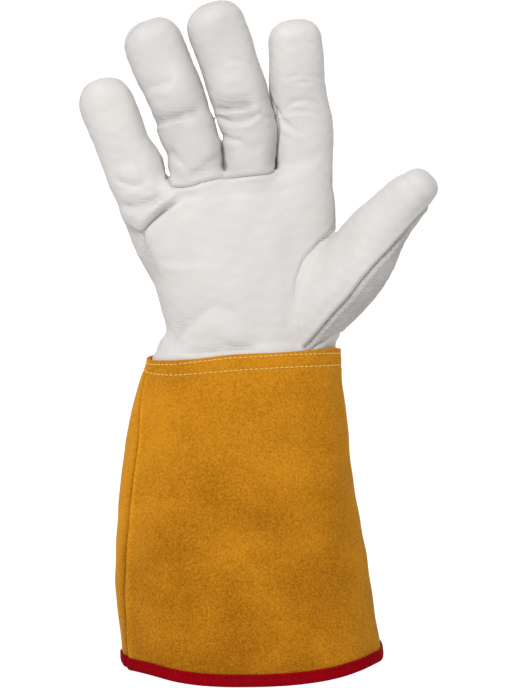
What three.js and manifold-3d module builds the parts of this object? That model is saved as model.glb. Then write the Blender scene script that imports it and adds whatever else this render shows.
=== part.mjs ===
// A leather welding gauntlet for the right hand, as it stands on a hand: fingers up, palm towards -Y,
// thumb towards +X. Millimetres, +Z up. The origin is the centre of the cuff's mouth, where the arm goes in.
//
// The glove is sewn from thin leather panels. All of them lie on one hollow skin, so the skin is made first:
// closed lofts of the fingers, the thumb and the palm are joined, and the same lofts, smaller by the leather's
// thickness, are taken out of them. The skin is then cut into panels along its seams. The cuff and the tape
// that binds its hem are bands: a closed profile carried round a flattened ring.
import * as THREE from "three";
import { mergeVertices } from "three/addons/utils/BufferGeometryUtils.js";
import Module from "manifold-3d";

const wasm = await Module();
wasm.setup();
const { Manifold, Mesh } = wasm;

const LEATHER = 1.4; // grain leather of the hand
const SUEDE = 1.8; // split leather of the cuff
const TAPE = 0.9; // folded binding tape
const GAP = 0.4; // clearance between neighbouring pieces
const FINGER_SIDES = 16;
const PALM_SIDES = 34;
const INNER_SIDES = 9; // the hollow of a finger
const PALM_INNER_SIDES = 22;
const CUFF_SIDES = 40;

// The hand's shape

// Rows of numbers as objects with named columns.
const table = (columns, ...rows) =>
  rows.map((row) => Object.fromEntries(columns.map((name, i) => [name, row[i]])));

// The fingers curl towards the palm above the knuckles, by the square of the height.
const KNUCKLE_Z = 252;
const CURL = 0.0011;
const curlAt = (z) => -CURL * Math.max(0, z - KNUCKLE_Z) ** 2;

// Each finger is a row of sections from its root inside the palm to its last full section, and then a dome.
// half is half the width across the palm, and deep is half the thickness.
const FINGER = ["x", "z", "half", "deep"];
const FINGERS = {
  little: {
    dome: 16.6,
    rows: table(
      FINGER,
      [-50.0, 232, 14.4, 12.0],
      [-56.4, 249, 14.8, 11.8],
      [-61.4, 262, 14.6, 11.0],
      [-65.8, 272.5, 14.2, 10.4],
      [-69.7, 283, 14.5, 10.8],
      [-73.7, 293.2, 14.5, 10.4],
    ),
  },
  ring: {
    dome: 16,
    rows: table(
      FINGER,
      [-25.6, 238, 13.6, 12.0],
      [-27.2, 252, 13.8, 12.4],
      [-28.5, 262, 13.9, 12.8],
      [-30.4, 272.5, 13.7, 12.0],
      [-33.6, 283, 14.4, 11.8],
      [-36.4, 291, 14.2, 10.4],
      [-40.8, 303.6, 14.8, 11.6],
      [-45.5, 314, 15.3, 11.4],
      [-49.5, 324.3, 15.1, 10.6],
    ),
  },
  middle: {
    dome: 15,
    rows: table(
      FINGER,
      [-0.4, 238, 12.8, 12.0],
      [-0.8, 252, 12.8, 12.4],
      [-1.0, 262, 12.9, 12.8],
      [-1.3, 272.5, 13.8, 12.4],
      [-2.1, 283, 14.7, 12.2],
      [-4.9, 294, 15.3, 11.0],
      [-7.6, 303.6, 14.9, 11.8],
      [-10.8, 314, 14.9, 11.6],
      [-14.6, 324.3, 15.2, 11.2],
      [-18.0, 334.7, 15.2, 10.6],
    ),
  },
  index: {
    dome: 13.5,
    rows: table(
      FINGER,
      [27.0, 236, 15.0, 12.2],
      [27.1, 257, 14.7, 12.2],
      [27.6, 267.3, 14.2, 11.6],
      [27.8, 277.7, 14.1, 11.2],
      [27.1, 288, 14.1, 10.6],
      [24.6, 298.4, 14.5, 11.2],
      [23.3, 308.8, 14.5, 11.2],
      [22.6, 319, 14.0, 10.8],
      [22.0, 327, 13.5, 10.2],
    ),
  },
};

// The thumb stands forward of the palm and turns on its own axis, so that its back shows from the front.
const THUMB = {
  dome: 11.6,
  rows: table(
    ["x", "z", "y", "half", "deep", "turn"],
    [17.0, 175.5, 1.0, 15.0, 12.0, 50],
    [26.5, 184.5, -2.0, 18.5, 14.5, 50],
    [36.8, 195.2, -5.0, 20.6, 16.0, 50],
    [48.0, 207.6, -8.5, 21.4, 16.2, 48],
    [57.2, 218.8, -12.5, 18.8, 14.8, 44],
    [65.3, 231.1, -17.0, 15.8, 12.8, 38],
    [75.3, 242.6, -21.5, 13.2, 11.4, 30],
    [83.6, 250.8, -24.5, 11.0, 10.0, 24],
  ),
};

// The palm and wrist: sections with the thickness in front of and behind the middle plane. The top ones
// tilt up towards the index finger, and square is 2 for an ellipse and more for squarer sides.
const PALM = table(
  ["x", "z", "half", "front", "back", "square", "tilt"],
  [-4.4, 144.0, 48.3, 23.65, 23.65, 2.3, 0],
  [-4.4, 166.0, 48.3, 23.65, 23.65, 2.3, 0],
  [-3.6, 172.5, 45.6, 20.6, 20.0, 2.4, 0],
  [-1.9, 179.3, 43.0, 20.6, 17.6, 2.6, 0],
  [-2.6, 189.6, 44.0, 20.2, 16.6, 2.7, 0],
  [-3.8, 200.0, 46.0, 19.4, 16.2, 2.7, 0],
  [-6.2, 210.3, 49.0, 18.6, 16.0, 2.7, 0],
  [-8.9, 220.7, 51.8, 18.0, 15.8, 2.7, 0],
  [-11.1, 233.7, 53.4, 16.4, 15.2, 2.7, 0],
  [-13.6, 245.0, 54.8, 14.8, 14.4, 2.7, 0.03],
  [-15.0, 252.0, 54.0, 12.8, 13.4, 2.7, 0.06],
  [-15.0, 257.4, 51.0, 10.2, 12.0, 2.7, 0.09],
  [-15.0, 260.6, 47.0, 6.8, 7.8, 2.7, 0.09],
);

// Folds of the leather on the palm side: the line of each valley, its reach and its depth.
const FOLDS = table(
  ["x1", "z1", "x2", "z2", "reach", "depth"],
  [-54, 229, -36, 245, 7, 2.6], // the deep crease below the little finger
  [-68, 253, -54, 250, 6, 1.6], // root of the little finger
  [-50, 290, -36, 293, 5, 2.4], // ring finger's lower joint
  [-16, 294, 2, 297, 5, 2.4], // middle finger's lower joint
  [18, 287, 38, 285, 5, 2.0], // index finger's lower joint
  [-34, 170, 2, 171, 6, 3.0], // above the cuff
  [-40, 212, -14, 214, 9, 1.6], // hollow of the palm
);

// The cuff's sections, and the height of its two edges round it.
const CUFF = table(
  ["z", "x", "half", "deep"],
  [0, 0.5, 67.7, 50.0],
  [16, 0, 67.8, 49.5],
  [28.5, -2.1, 66.9, 48.0],
  [47, -4.7, 65.9, 46.0],
  [66, -6.0, 64.6, 43.6],
  [84.5, -6.8, 62.8, 41.0],
  [103, -7.6, 60.5, 38.0],
  [122, -7.4, 58.7, 34.8],
  [140.5, -6.6, 55.8, 31.0],
  [153, -5.8, 53.2, 27.6],
  [162, -4.6, 50.9, 25.8],
  [175, -4.4, 50.4, 25.8],
);
const CUFF_SQUARE = 2.3; // 2 is an ellipse, and more is squarer
const hemHeight = (a) =>
  6 + 2.5 * Math.cos(a) + 3 * Math.sin(a) + 3 * Math.cos(2 * a) + 0.7 * Math.sin(2 * a);
const topHeight = (a) => 167.4 + 2 * Math.cos(a) + 1.5 * Math.sin(a) - 1.6 * Math.sin(2 * a);
const SEAM_ANGLE = THREE.MathUtils.degToRad(203); // the cuff's side seam, on the little finger's side
const SEAM_WIDTH = 0.07; // radians
const SEAM_DEPTH = 1.6;
const BINDING_HEIGHT = 6.5;

// Making closed solids

const signedPower = (value, power) => Math.sign(value) * Math.abs(value) ** power;

// How far the folds push a point of the palm side back.
function foldAt(x, z) {
  let push = 0;
  for (const fold of FOLDS) {
    const along = new THREE.Vector2(fold.x2 - fold.x1, fold.z2 - fold.z1);
    const offset = new THREE.Vector2(x - fold.x1, z - fold.z1);
    const share = THREE.MathUtils.clamp(offset.dot(along) / along.lengthSq(), 0, 1);
    const distance = offset.addScaledVector(along, -share).length();
    push += fold.depth * Math.exp(-((distance / fold.reach) ** 2));
  }
  return push;
}

// A closed mesh over rings of points, each ring joined to the next, with a cap at both ends.
function meshOfRings(rings) {
  const sides = rings[0].length;
  const points = rings.flat();
  const faces = [];
  for (let r = 0; r + 1 < rings.length; r++) {
    for (let i = 0; i < sides; i++) {
      const [a, b] = [r * sides + i, r * sides + ((i + 1) % sides)];
      faces.push(a, b, a + sides, b, b + sides, a + sides);
    }
  }
  for (const [ring, flip] of [[0, true], [rings.length - 1, false]]) {
    const middle = new THREE.Vector3();
    for (const point of rings[ring]) middle.addScaledVector(point, 1 / sides);
    const hub = points.push(middle) - 1;
    for (let i = 0; i < sides; i++) {
      const [a, b] = [ring * sides + i, ring * sides + ((i + 1) % sides)];
      faces.push(...(flip ? [b, a, hub] : [a, b, hub]));
    }
  }
  return new THREE.BufferGeometry().setFromPoints(points).setIndex(faces);
}

// A geometry as a solid whose faces point out.
function solidOf(geometry) {
  const bare = geometry.clone();
  bare.deleteAttribute("normal");
  bare.deleteAttribute("uv");
  const merged = mergeVertices(bare, 1e-4);
  const position = merged.attributes.position;
  const corners = [0, 1, 2].map(() => new THREE.Vector3());
  const index = Uint32Array.from(merged.index.array);
  let volume = 0;
  for (let i = 0; i < index.length; i += 3) {
    corners.forEach((corner, k) => corner.fromBufferAttribute(position, index[i + k]));
    volume += corners[0].dot(corners[1].clone().cross(corners[2]));
  }
  if (volume < 0) {
    for (let i = 0; i < index.length; i += 3) {
      [index[i + 1], index[i + 2]] = [index[i + 2], index[i + 1]];
    }
  }
  return new Manifold(
    new Mesh({ numProp: 3, vertProperties: position.array, triVerts: index }),
  );
}

const geometryOf = (solid) => {
  const { vertProperties, triVerts, numProp, numVert } = solid.getMesh();
  const points = Array.from({ length: numVert }, (_, i) =>
    new THREE.Vector3().fromArray(vertProperties, i * numProp),
  );
  const geometry = new THREE.BufferGeometry().setFromPoints(points).setIndex([...triVerts]);
  const flat = geometry.toNonIndexed();
  flat.computeVertexNormals();
  return flat;
};

// One ring of a digit or the palm: a squared ellipse in the plane of its two directions.
function ringOf(row, sides, inset) {
  const ring = [];
  for (let i = 0; i < sides; i++) {
    const angle = (2 * Math.PI * i) / sides;
    const across = (row.half - inset) * signedPower(Math.cos(angle), 2 / row.square);
    const thickness = Math.sin(angle) < 0 ? row.front : row.back;
    const through = (thickness - inset) * signedPower(Math.sin(angle), 2 / row.square);
    const point = row.centre
      .clone()
      .addScaledVector(row.across, across)
      .addScaledVector(row.through, through);
    if (Math.sin(angle) < -0.1) point.y += foldAt(point.x, point.z);
    ring.push(point);
  }
  return ring;
}

// A digit: its table's rows turned square to the path, then rings that shrink to a dome.
const DOME_STEPS = [0.45, 0.8, 0.97];
const DOME_SQUARE = 2.5;
function digit({ rows, dome }, inset) {
  const centres = rows.map((row) => new THREE.Vector3(row.x, row.y ?? curlAt(row.z), row.z));
  const Y = new THREE.Vector3(0, 1, 0);
  const placed = rows.map((row, i) => {
    const before = centres[Math.max(0, i - 1)];
    const after = centres[Math.min(centres.length - 1, i + 1)];
    const forward = after.clone().sub(before).normalize();
    const across = Y.clone().cross(forward).normalize();
    const through = forward.clone().cross(across);
    const turn = THREE.MathUtils.degToRad(row.turn ?? 0);
    return {
      half: row.half,
      front: row.deep,
      back: row.deep,
      square: 2.25,
      centre: centres[i],
      forward,
      across: across.clone().applyAxisAngle(forward, -turn),
      through: through.clone().applyAxisAngle(forward, -turn),
    };
  });
  const last = placed.at(-1);
  for (const share of DOME_STEPS) {
    const shrink = (1 - share ** DOME_SQUARE) ** (1 / DOME_SQUARE);
    const centre = last.centre.clone().addScaledVector(last.forward, (dome - inset) * share);
    const [half, deep] = [last.half, last.front].map((size) => (size - inset) * shrink + inset);
    placed.push({ ...last, centre, half, front: deep, back: deep });
  }
  return placed;
}

const loftOf = (rows, sides, inset) =>
  solidOf(meshOfRings(rows.map((row) => ringOf(row, sides, inset))));

const palmRows = (inset) => {
  const rows = PALM.map((row) => ({
    ...row,
    centre: new THREE.Vector3(row.x, 0, row.z),
    across: new THREE.Vector3(1, 0, row.tilt),
    through: new THREE.Vector3(0, 1, 0),
  }));
  if (inset) {
    rows[0].centre.z -= 1; // the hollow runs out past the wrist's edge
    rows.at(-1).centre.z -= inset;
  }
  return rows;
};

const DIGITS = { ...FINGERS, thumb: THUMB };
const outer = Manifold.union([
  loftOf(palmRows(0), PALM_SIDES, 0),
  ...Object.values(DIGITS).map((shape) => loftOf(digit(shape, 0), FINGER_SIDES, 0)),
]);
const hollow = Manifold.union([
  loftOf(palmRows(LEATHER), PALM_INNER_SIDES, LEATHER),
  ...Object.values(DIGITS).map((shape) => loftOf(digit(shape, LEATHER), INNER_SIDES, LEATHER)),
]);
const skin = outer.subtract(hollow);

// Cutting the skin into panels

const REACH = 130; // past everything, for the solids that only cut

// An upright prism along Y over an outline of [x, z] points.
function prism(outline) {
  const shape = new THREE.Shape(outline.map(([x, z]) => new THREE.Vector2(x, z)));
  const geometry = new THREE.ExtrudeGeometry(shape, { depth: 2 * REACH, bevelEnabled: false });
  return solidOf(geometry.rotateX(Math.PI / 2).translate(0, REACH, 0));
}

// The surface that the side seams lie in: it follows the fingers' curl, and the thumb's lean to the front.
const THUMB_ROOT_X = 40;
function seamDepth(x, z) {
  const intoThumb = THREE.MathUtils.smoothstep(x, THUMB_ROOT_X, THUMB_ROOT_X + 14);
  const along = (x - 44) * 0.67 + (z - 231) * 0.74;
  const thumb = -9 - 0.3 * THREE.MathUtils.clamp(along, -20, 60);
  return THREE.MathUtils.lerp(curlAt(z), z < 275 ? thumb : curlAt(z), intoThumb);
}

// Everything in front of the seam surface (side -1) or behind it (side 1), clear of it by half the gap.
function halfSpace(side) {
  const columns = 12;
  const rows = 10;
  const rings = [];
  for (let r = 0; r <= rows; r++) {
    const z = 120 + (r * 240) / rows;
    const near = [];
    for (let c = 0; c <= columns; c++) {
      const x = -110 + (c * 220) / columns;
      near.push(new THREE.Vector3(x, seamDepth(x, z) + (side * GAP) / 2, z));
    }
    const far = [new THREE.Vector3(110, side * REACH, z), new THREE.Vector3(-110, side * REACH, z)];
    rings.push([...near, ...far]);
  }
  return solidOf(meshOfRings(rings));
}
const inFront = halfSpace(-1);
const behind = halfSpace(1);

// The strip along one side of a finger that faces its neighbour: a tapered bar beside the finger's middle.
const STRIP_HALF = 6;
function strip(name, side, grow) {
  const placed = digit(FINGERS[name], 0).slice(1, -2);
  const rings = placed.map((row, i) => {
    const taper = Math.min(1, (placed.length - 0.6 - i) / 2);
    const high = STRIP_HALF * taper + grow;
    const corner = (u, v) =>
      row.centre
        .clone()
        .addScaledVector(row.across, side * u)
        .addScaledVector(row.through, v);
    const [near, far] = [row.half * 0.3 - grow, row.half * 1.12 + grow];
    return [corner(near, -high), corner(far, -high), corner(far, high), corner(near, high)];
  });
  return solidOf(meshOfRings(rings));
}

// Between two fingers, the two strips and the block of the crotch that joins them.
const CROTCHES = table(
  ["left", "right", "x", "z"],
  ["little", "ring", -43.5, 257],
  ["ring", "middle", -14.0, 258],
  ["middle", "index", 12.4, 260],
);
function sideStrips({ left, right, x, z }, grow) {
  const block = new THREE.BoxGeometry(12 + 2 * grow, 2 * (STRIP_HALF + grow), 14 + 2 * grow);
  block.translate(x, 0, z);
  return Manifold.union([strip(left, 1, grow), strip(right, -1, grow), solidOf(block)]);
}

// Outlines of the panels seen from the front. grow moves a panel's border outwards by the gap.
const fingerFrontsOutline = (grow) => [
  [-105 - grow, 400],
  [-66 - grow, 314],
  [-60.5 - grow, 304],
  [-55.3 - grow, 293],
  [-52 - grow, 283],
  [-48 - grow, 272.5],
  [-44.4 - grow, 262],
  [-41.8 - grow, 256 - grow],
  [-39 - grow, 253.6 - grow],
  [-30, 253.0 - grow],
  [-14, 256.6 - grow],
  [2, 258.4 - grow],
  [10.5 + grow, 259.6 - grow],
  [13.1 + grow, 262 - grow],
  [13.6 + grow, 275],
  [12.6 + grow, 290],
  [8 + grow, 302],
  [2 + grow, 400],
  [-26, 400],
];
// The thumb's outer seam, from its foot on the wrist to past the tip.
const THUMB_SEAM = [
  [28.6, 168],
  [42.6, 183.6],
  [56.9, 204.9],
  [68.8, 218.1],
  [80.7, 232.9],
  [92.6, 245.4],
  [99, 252],
];
const seamShifted = (shift) => THUMB_SEAM.map(([x, z]) => [x + shift, z]);
const thumbFrontOutline = (grow) => [
  [44.0 - grow, 233],
  [36.3 - grow, 225.9],
  [32.6 - grow, 222.3],
  [26.4 - grow, 215],
  [22.3 - grow, 204.6],
  [21.8 - grow, 194.8],
  [23.6 - grow, 182],
  [27.4 - grow, 168],
  ...seamShifted(grow),
  [110, 300],
  [44 - grow, 300],
];
// Right of that seam, down to where the back panel wraps round the wrist.
const thumbSideOutline = [...seamShifted(GAP * 1.6), [130, 252], [130, 178], [45, 178]];
const thumbBackOutline = [
  [44.6, 300],
  [44.6, 230],
  [40, 200],
  [28.6, 168.6],
  [45, 178],
  [130, 178],
  [130, 300],
];
const wristOutline = [
  [27.8, 130],
  [27.8, 167.2],
  [45, 177.2],
  [80, 177.2],
  [80, 130],
];

const fourchettes = CROTCHES.map((crotch) => ({
  name: `fourchette_${crotch.left}_${crotch.right}`,
  solid: skin.intersect(sideStrips(crotch, 0)),
}));
const stripsGrown = Manifold.union(CROTCHES.map((crotch) => sideStrips(crotch, GAP)));
const thumbSide = Manifold.union([
  prism(thumbBackOutline).intersect(behind),
  prism(thumbSideOutline).intersect(inFront.translate(0, GAP * 2, 0)),
]);
const thumbSideGrown = thumbSide.add(thumbSide.translate(-GAP, 0, 0)).add(thumbSide.translate(0, 0, -GAP));
const wristSide = prism(wristOutline).intersect(inFront.translate(0, GAP * 2, 0));
const palmZone = inFront
  .subtract(prism(fingerFrontsOutline(GAP)))
  .subtract(prism(thumbFrontOutline(GAP)))
  .subtract(prism(thumbSideOutline))
  .subtract(prism(wristOutline.map(([x, z]) => [x - GAP, z])));

const panels = {
  palm: skin.intersect(palmZone).subtract(stripsGrown),
  finger_fronts: skin
    .intersect(inFront)
    .intersect(prism(fingerFrontsOutline(0)))
    .subtract(stripsGrown),
  thumb_front: skin.intersect(inFront).intersect(prism(thumbFrontOutline(0))),
  thumb_back: skin.intersect(thumbSide),
  hand_back: skin.intersect(behind.add(wristSide)).subtract(stripsGrown).subtract(thumbSideGrown),
};
for (const { name, solid } of fourchettes) panels[name] = solid;

// The cuff and its binding

// One ring of the cuff at a distance inside its outer face, with a height for each angle. Where the side
// seam runs, the leather dips inwards.
const cuffAt = (z) => {
  const upper = CUFF.findIndex((row) => row.z >= z);
  const [a, b] = [CUFF[Math.max(0, upper - 1)], CUFF[Math.max(0, upper)]];
  const share = a === b ? 0 : (z - a.z) / (b.z - a.z);
  return Object.fromEntries(["x", "half", "deep"].map((k) => [k, a[k] + (b[k] - a[k]) * share]));
};
function cuffPoint(angle, z, inset) {
  const row = cuffAt(Math.max(0, z));
  const shallow = 1 - THREE.MathUtils.smoothstep(z, 128, 142);
  const dip = SEAM_DEPTH * shallow * Math.exp(-(((angle - SEAM_ANGLE) / SEAM_WIDTH) ** 2));
  const power = 2 / CUFF_SQUARE;
  return new THREE.Vector3(
    row.x + (row.half - inset - dip) * signedPower(Math.cos(angle), power),
    (row.deep - inset - dip) * signedPower(Math.sin(angle), power),
    z,
  );
}

// A band round the cuff's ring: its closed profile is a list of [height at an angle, inset] pairs.
function band(profile) {
  const around = Array.from({ length: CUFF_SIDES }, (_, i) => (2 * Math.PI * (i + 0.5)) / CUFF_SIDES);
  const points = profile.flatMap(([height, inset]) => around.map((a) => cuffPoint(a, height(a), inset)));
  const faces = [];
  profile.forEach((_, r) => {
    const next = (r + 1) % profile.length;
    for (let i = 0; i < CUFF_SIDES; i++) {
      const j = (i + 1) % CUFF_SIDES;
      const [a, b, c, d] = [r * CUFF_SIDES + i, r * CUFF_SIDES + j, next * CUFF_SIDES + i, next * CUFF_SIDES + j];
      faces.push(a, b, c, b, d, c);
    }
  });
  return solidOf(new THREE.BufferGeometry().setFromPoints(points).setIndex(faces));
}

const CUFF_LEVELS = [0, 0.045, 0.16, 0.32, 0.48, 0.64, 0.8, 0.91, 1];
const INNER_LEVELS = [1, 0.9, 0.6, 0.3, 0.045, 0];
const levelOf = (share) => (a) => hemHeight(a) + TAPE + GAP + (topHeight(a) - hemHeight(a) - TAPE - GAP) * share;
panels.cuff = band([
  ...CUFF_LEVELS.map((share) => [levelOf(share), 0]),
  ...INNER_LEVELS.map((share) => [levelOf(share), SUEDE]),
]);

// The tape is folded over the hem: down the outside, under the edge and up the inside.
const bindingTop = (a) => hemHeight(a) + BINDING_HEIGHT;
const bindingBase = (a) => hemHeight(a) + TAPE;
const inside = SUEDE + GAP;
panels.hem_binding = band([
  [bindingTop, -GAP - TAPE],
  [bindingTop, -GAP],
  [bindingBase, -GAP],
  [bindingBase, inside],
  [bindingTop, inside],
  [bindingTop, inside + TAPE],
  [bindingBase, inside + TAPE],
  [hemHeight, SUEDE / 2],
  [bindingBase, -GAP - TAPE],
]);

// Materials and the assembly

const grain = { color: 0xe3dfdb, roughness: 0.62 };
const LOOKS = {
  palm: grain,
  finger_fronts: grain,
  thumb_front: grain,
  thumb_back: { color: 0xbab6b1, roughness: 0.8 },
  hand_back: { color: 0xd9d5d0, roughness: 0.7 },
  cuff: { color: 0xbd7a1c, roughness: 0.95 },
  hem_binding: { color: 0x9c1420, roughness: 0.6 },
};

const gauntlet = new THREE.Group();
gauntlet.name = "welding_gauntlet";
for (const [name, solid] of Object.entries(panels)) {
  const whole = solid.decompose().reduce((a, b) => (b.volume() > a.volume() ? b : a));
  const look = LOOKS[name] ?? grain;
  const mesh = new THREE.Mesh(
    geometryOf(whole),
    new THREE.MeshStandardMaterial({ ...look, metalness: 0 }),
  );
  mesh.name = name;
  gauntlet.add(mesh);
}

export default gauntlet;
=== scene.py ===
# %% [markdown]
# # A leather welding gauntlet
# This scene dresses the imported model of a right-hand gauntlet: a pale grain-leather hand, an ochre suede cuff
# and a red tape round its hem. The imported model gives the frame, in metres. Every piece here is worked out as
# whole arrays of points with numpy. The panels, the cuff and the tape stand in for the plain CAD pieces, and
# the stitches are added to them.

# %% Load the frame
import math

import bpy
import numpy as np
from mathutils.bvhtree import BVHTree
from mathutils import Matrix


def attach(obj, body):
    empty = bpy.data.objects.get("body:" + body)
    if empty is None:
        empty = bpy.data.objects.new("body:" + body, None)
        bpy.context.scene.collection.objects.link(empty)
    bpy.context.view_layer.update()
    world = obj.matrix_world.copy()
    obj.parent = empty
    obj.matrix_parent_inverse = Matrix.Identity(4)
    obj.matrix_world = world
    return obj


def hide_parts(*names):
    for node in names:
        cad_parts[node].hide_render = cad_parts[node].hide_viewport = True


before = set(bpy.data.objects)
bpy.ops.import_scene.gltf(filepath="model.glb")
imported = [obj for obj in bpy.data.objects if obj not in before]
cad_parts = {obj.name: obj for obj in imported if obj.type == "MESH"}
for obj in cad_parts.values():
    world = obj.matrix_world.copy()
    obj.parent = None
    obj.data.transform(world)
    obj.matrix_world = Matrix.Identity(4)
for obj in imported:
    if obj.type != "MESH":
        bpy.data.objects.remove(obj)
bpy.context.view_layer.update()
MM = 0.001
print("CAD nodes:", sorted(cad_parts))

# %% [markdown]
# ## Camera and light
# The glove was photographed from straight in front, at half its height, with a long lens. The lens is worked
# out from the height of the view at the glove: the sensor is to the lens as the view is to the distance.
# The white surroundings give the soft light, and two large lamps shape the form.

# %% Camera
CAMERA_X, CAMERA_Z, CAMERA_DISTANCE = 3.1 * MM, 172 * MM, 1.5
VIEW_HEIGHT = 356.4 * MM
SENSOR = 36


def add_object(name, data):
    """An object made of some data, linked into the scene."""
    made = bpy.data.objects.new(name, data)
    bpy.context.scene.collection.objects.link(made)
    return made


camera_data = bpy.data.cameras.new("camera")
camera_data.sensor_width = SENSOR
camera_data.lens = SENSOR * CAMERA_DISTANCE / VIEW_HEIGHT
camera_data.clip_start = 0.01
camera = add_object("camera", camera_data)
camera.location = (CAMERA_X, -CAMERA_DISTANCE, CAMERA_Z)
camera.rotation_euler = (math.pi / 2, 0, 0)
bpy.context.scene.camera = camera
print("lens", round(camera_data.lens, 1), "mm")


# %% Lamps, surroundings and floor
def add_lamp(name, place, target, size, watts):
    """A square soft lamp at a place, turned to face a target point."""
    data = bpy.data.lights.new(name, "AREA")
    data.size = size
    data.energy = watts
    lamp = add_object(name, data)
    lamp.location = place
    aim = np.array(target) - np.array(place)
    yaw = math.atan2(aim[1], aim[0]) - math.pi / 2
    pitch = math.atan2(aim[2], math.hypot(aim[0], aim[1]))
    lamp.rotation_euler = (math.pi / 2 + pitch, 0, yaw)


def full_turn(count):
    """Angles all the way round, evenly spaced."""
    return np.linspace(0, 2 * math.pi, count, endpoint=False)


def computed(tree, operation, *inputs):
    """A math node's output: each of its inputs is a number or the output of another node."""
    node = tree.nodes.new("ShaderNodeMath")
    node.operation = operation
    for socket, value in zip(node.inputs, inputs):
        if isinstance(value, float):
            socket.default_value = value
        else:
            tree.links.new(value, socket)
    return node.outputs[0]


add_lamp("key", (-0.38, -0.95, 0.98), (0, 0, 0.22), 0.45, 9.0)
add_lamp("back", (0.15, 1.6, 0.45), (0, 0, 0.2), 1.0, 5.0)

# The surroundings are brighter before and behind the glove than at its sides: a share of y squared is added.
SKY_AT_SIDES, SKY_SHARE = 0.65, 0.5
world = bpy.data.worlds.new("surroundings")
world.use_nodes = True
sky = world.node_tree
background = sky.nodes["Background"]
background.inputs["Color"].default_value = (1, 1, 1, 1)
toward = sky.nodes.new("ShaderNodeTexCoord")
parted = sky.nodes.new("ShaderNodeSeparateXYZ")
sky.links.new(toward.outputs["Generated"], parted.inputs["Vector"])
squared = computed(sky, "MULTIPLY", parted.outputs["Y"], parted.outputs["Y"])
brightness = computed(sky, "MULTIPLY_ADD", squared, SKY_SHARE, SKY_AT_SIDES)
sky.links.new(brightness, background.inputs["Strength"])
bpy.context.scene.world = world
bpy.context.scene.view_settings.view_transform = "Standard"

FLOOR_Z, FLOOR_RADIUS, FLOOR_CORNERS = -0.25, 1.6, 64
turn = full_turn(FLOOR_CORNERS)
floor_points = FLOOR_RADIUS * np.stack([np.cos(turn), np.sin(turn), 0 * turn], axis=1) + [0, 0, FLOOR_Z]
floor_mesh = bpy.data.meshes.new("floor")
floor_mesh.from_pydata(floor_points.tolist(), [], [list(range(FLOOR_CORNERS))])
floor = add_object("floor", floor_mesh)
print("lamps:", len(bpy.data.lights))

# %% [markdown]
# ## Tables of the hand
# A glove on a hand is five digits and a palm. Each digit is a row of sections along its own axis, from its
# root inside the palm to its last full section, and then a dome. Sections give the axis point, half the
# width across the palm and half the thickness. The palm is a stack of level sections.


# %% Rows with named columns
def table(columns, *rows):
    """Named columns: a dict of one array for each column."""
    return dict(zip(columns, np.array(rows, float).T))


def read_rows(at, known, rows):
    """Rows of numbers at some places between the known ones, each column read for itself."""
    return np.stack([np.interp(at, known, column) for column in rows.T], axis=1)


# %% The four fingers
FINGER = ["x", "z", "half", "deep"]
FINGERS = {
    "little": table(
        FINGER,
        [-50.0, 232, 13.2, 11.6],
        [-56.2, 249, 14.4, 11.6],
        [-60.7, 262, 15.4, 11.0],
        [-65.8, 272.5, 14.2, 10.6],
        [-69.9, 283, 14.3, 10.8],
        [-74.0, 293.2, 14.2, 10.4],
    ),
    "ring": table(
        FINGER,
        [-25.6, 238, 13.6, 12.0],
        [-27.8, 252, 14.6, 12.2],
        [-28.3, 262, 15.4, 12.4],
        [-29.2, 272.5, 14.6, 12.0],
        [-33.2, 283, 15.2, 11.8],
        [-36.2, 291, 14.6, 11.0],
        [-40.8, 303.6, 14.8, 11.6],
        [-45.5, 314, 15.3, 11.4],
        [-49.5, 324.3, 15.1, 10.6],
    ),
    "middle": table(
        FINGER,
        [-0.4, 238, 12.8, 12.0],
        [-0.8, 252, 12.8, 12.2],
        [-1.0, 262, 12.9, 12.4],
        [-1.5, 272.5, 14.0, 12.2],
        [-1.8, 283, 15.1, 12.0],
        [-5.3, 294, 15.2, 11.2],
        [-7.6, 303.6, 15.1, 11.8],
        [-10.8, 314, 14.9, 11.6],
        [-14.2, 324.3, 15.0, 11.2],
        [-18.0, 334.2, 15.1, 10.6],
    ),
    "index": table(
        FINGER,
        [27.0, 236, 15.0, 12.0],
        [26.6, 257, 15.2, 12.0],
        [26.2, 267.3, 15.7, 11.6],
        [25.6, 277.7, 16.5, 11.4],
        [25.0, 288, 16.5, 11.0],
        [24.3, 298.4, 15.3, 11.2],
        [23.3, 308.8, 14.5, 11.2],
        [23.1, 319, 14.0, 10.8],
        [22.5, 327, 13.5, 10.2],
    ),
}
DOMES = {"little": 16.4, "ring": 15.6, "middle": 13.9, "index": 12.3, "thumb": 9.6}

# The fingers bend forward above the knuckles.
KNUCKLE_Z = 252
CURL = 0.0011


def curl(z):
    """How far forward the fingers lie: it grows with the square of the height above the knuckles."""
    return -CURL * np.maximum(0, z - KNUCKLE_Z) ** 2


# Over these heights the fingers touch, and each is moved forward or back by its own amount, so that the
# middle finger lies in front of the index finger.
TOUCHING = {"z": [248, 264, 300, 318], "share": [0, 1, 1, 0]}
FORWARD = {"little": 0.0, "ring": 3.2, "middle": 3.8, "index": -2.2}
for name, finger in FINGERS.items():
    touching = np.interp(finger["z"], TOUCHING["z"], TOUCHING["share"])
    finger["y"] = curl(finger["z"]) - FORWARD[name] * touching
    finger["turn"] = np.zeros_like(finger["z"])

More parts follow.
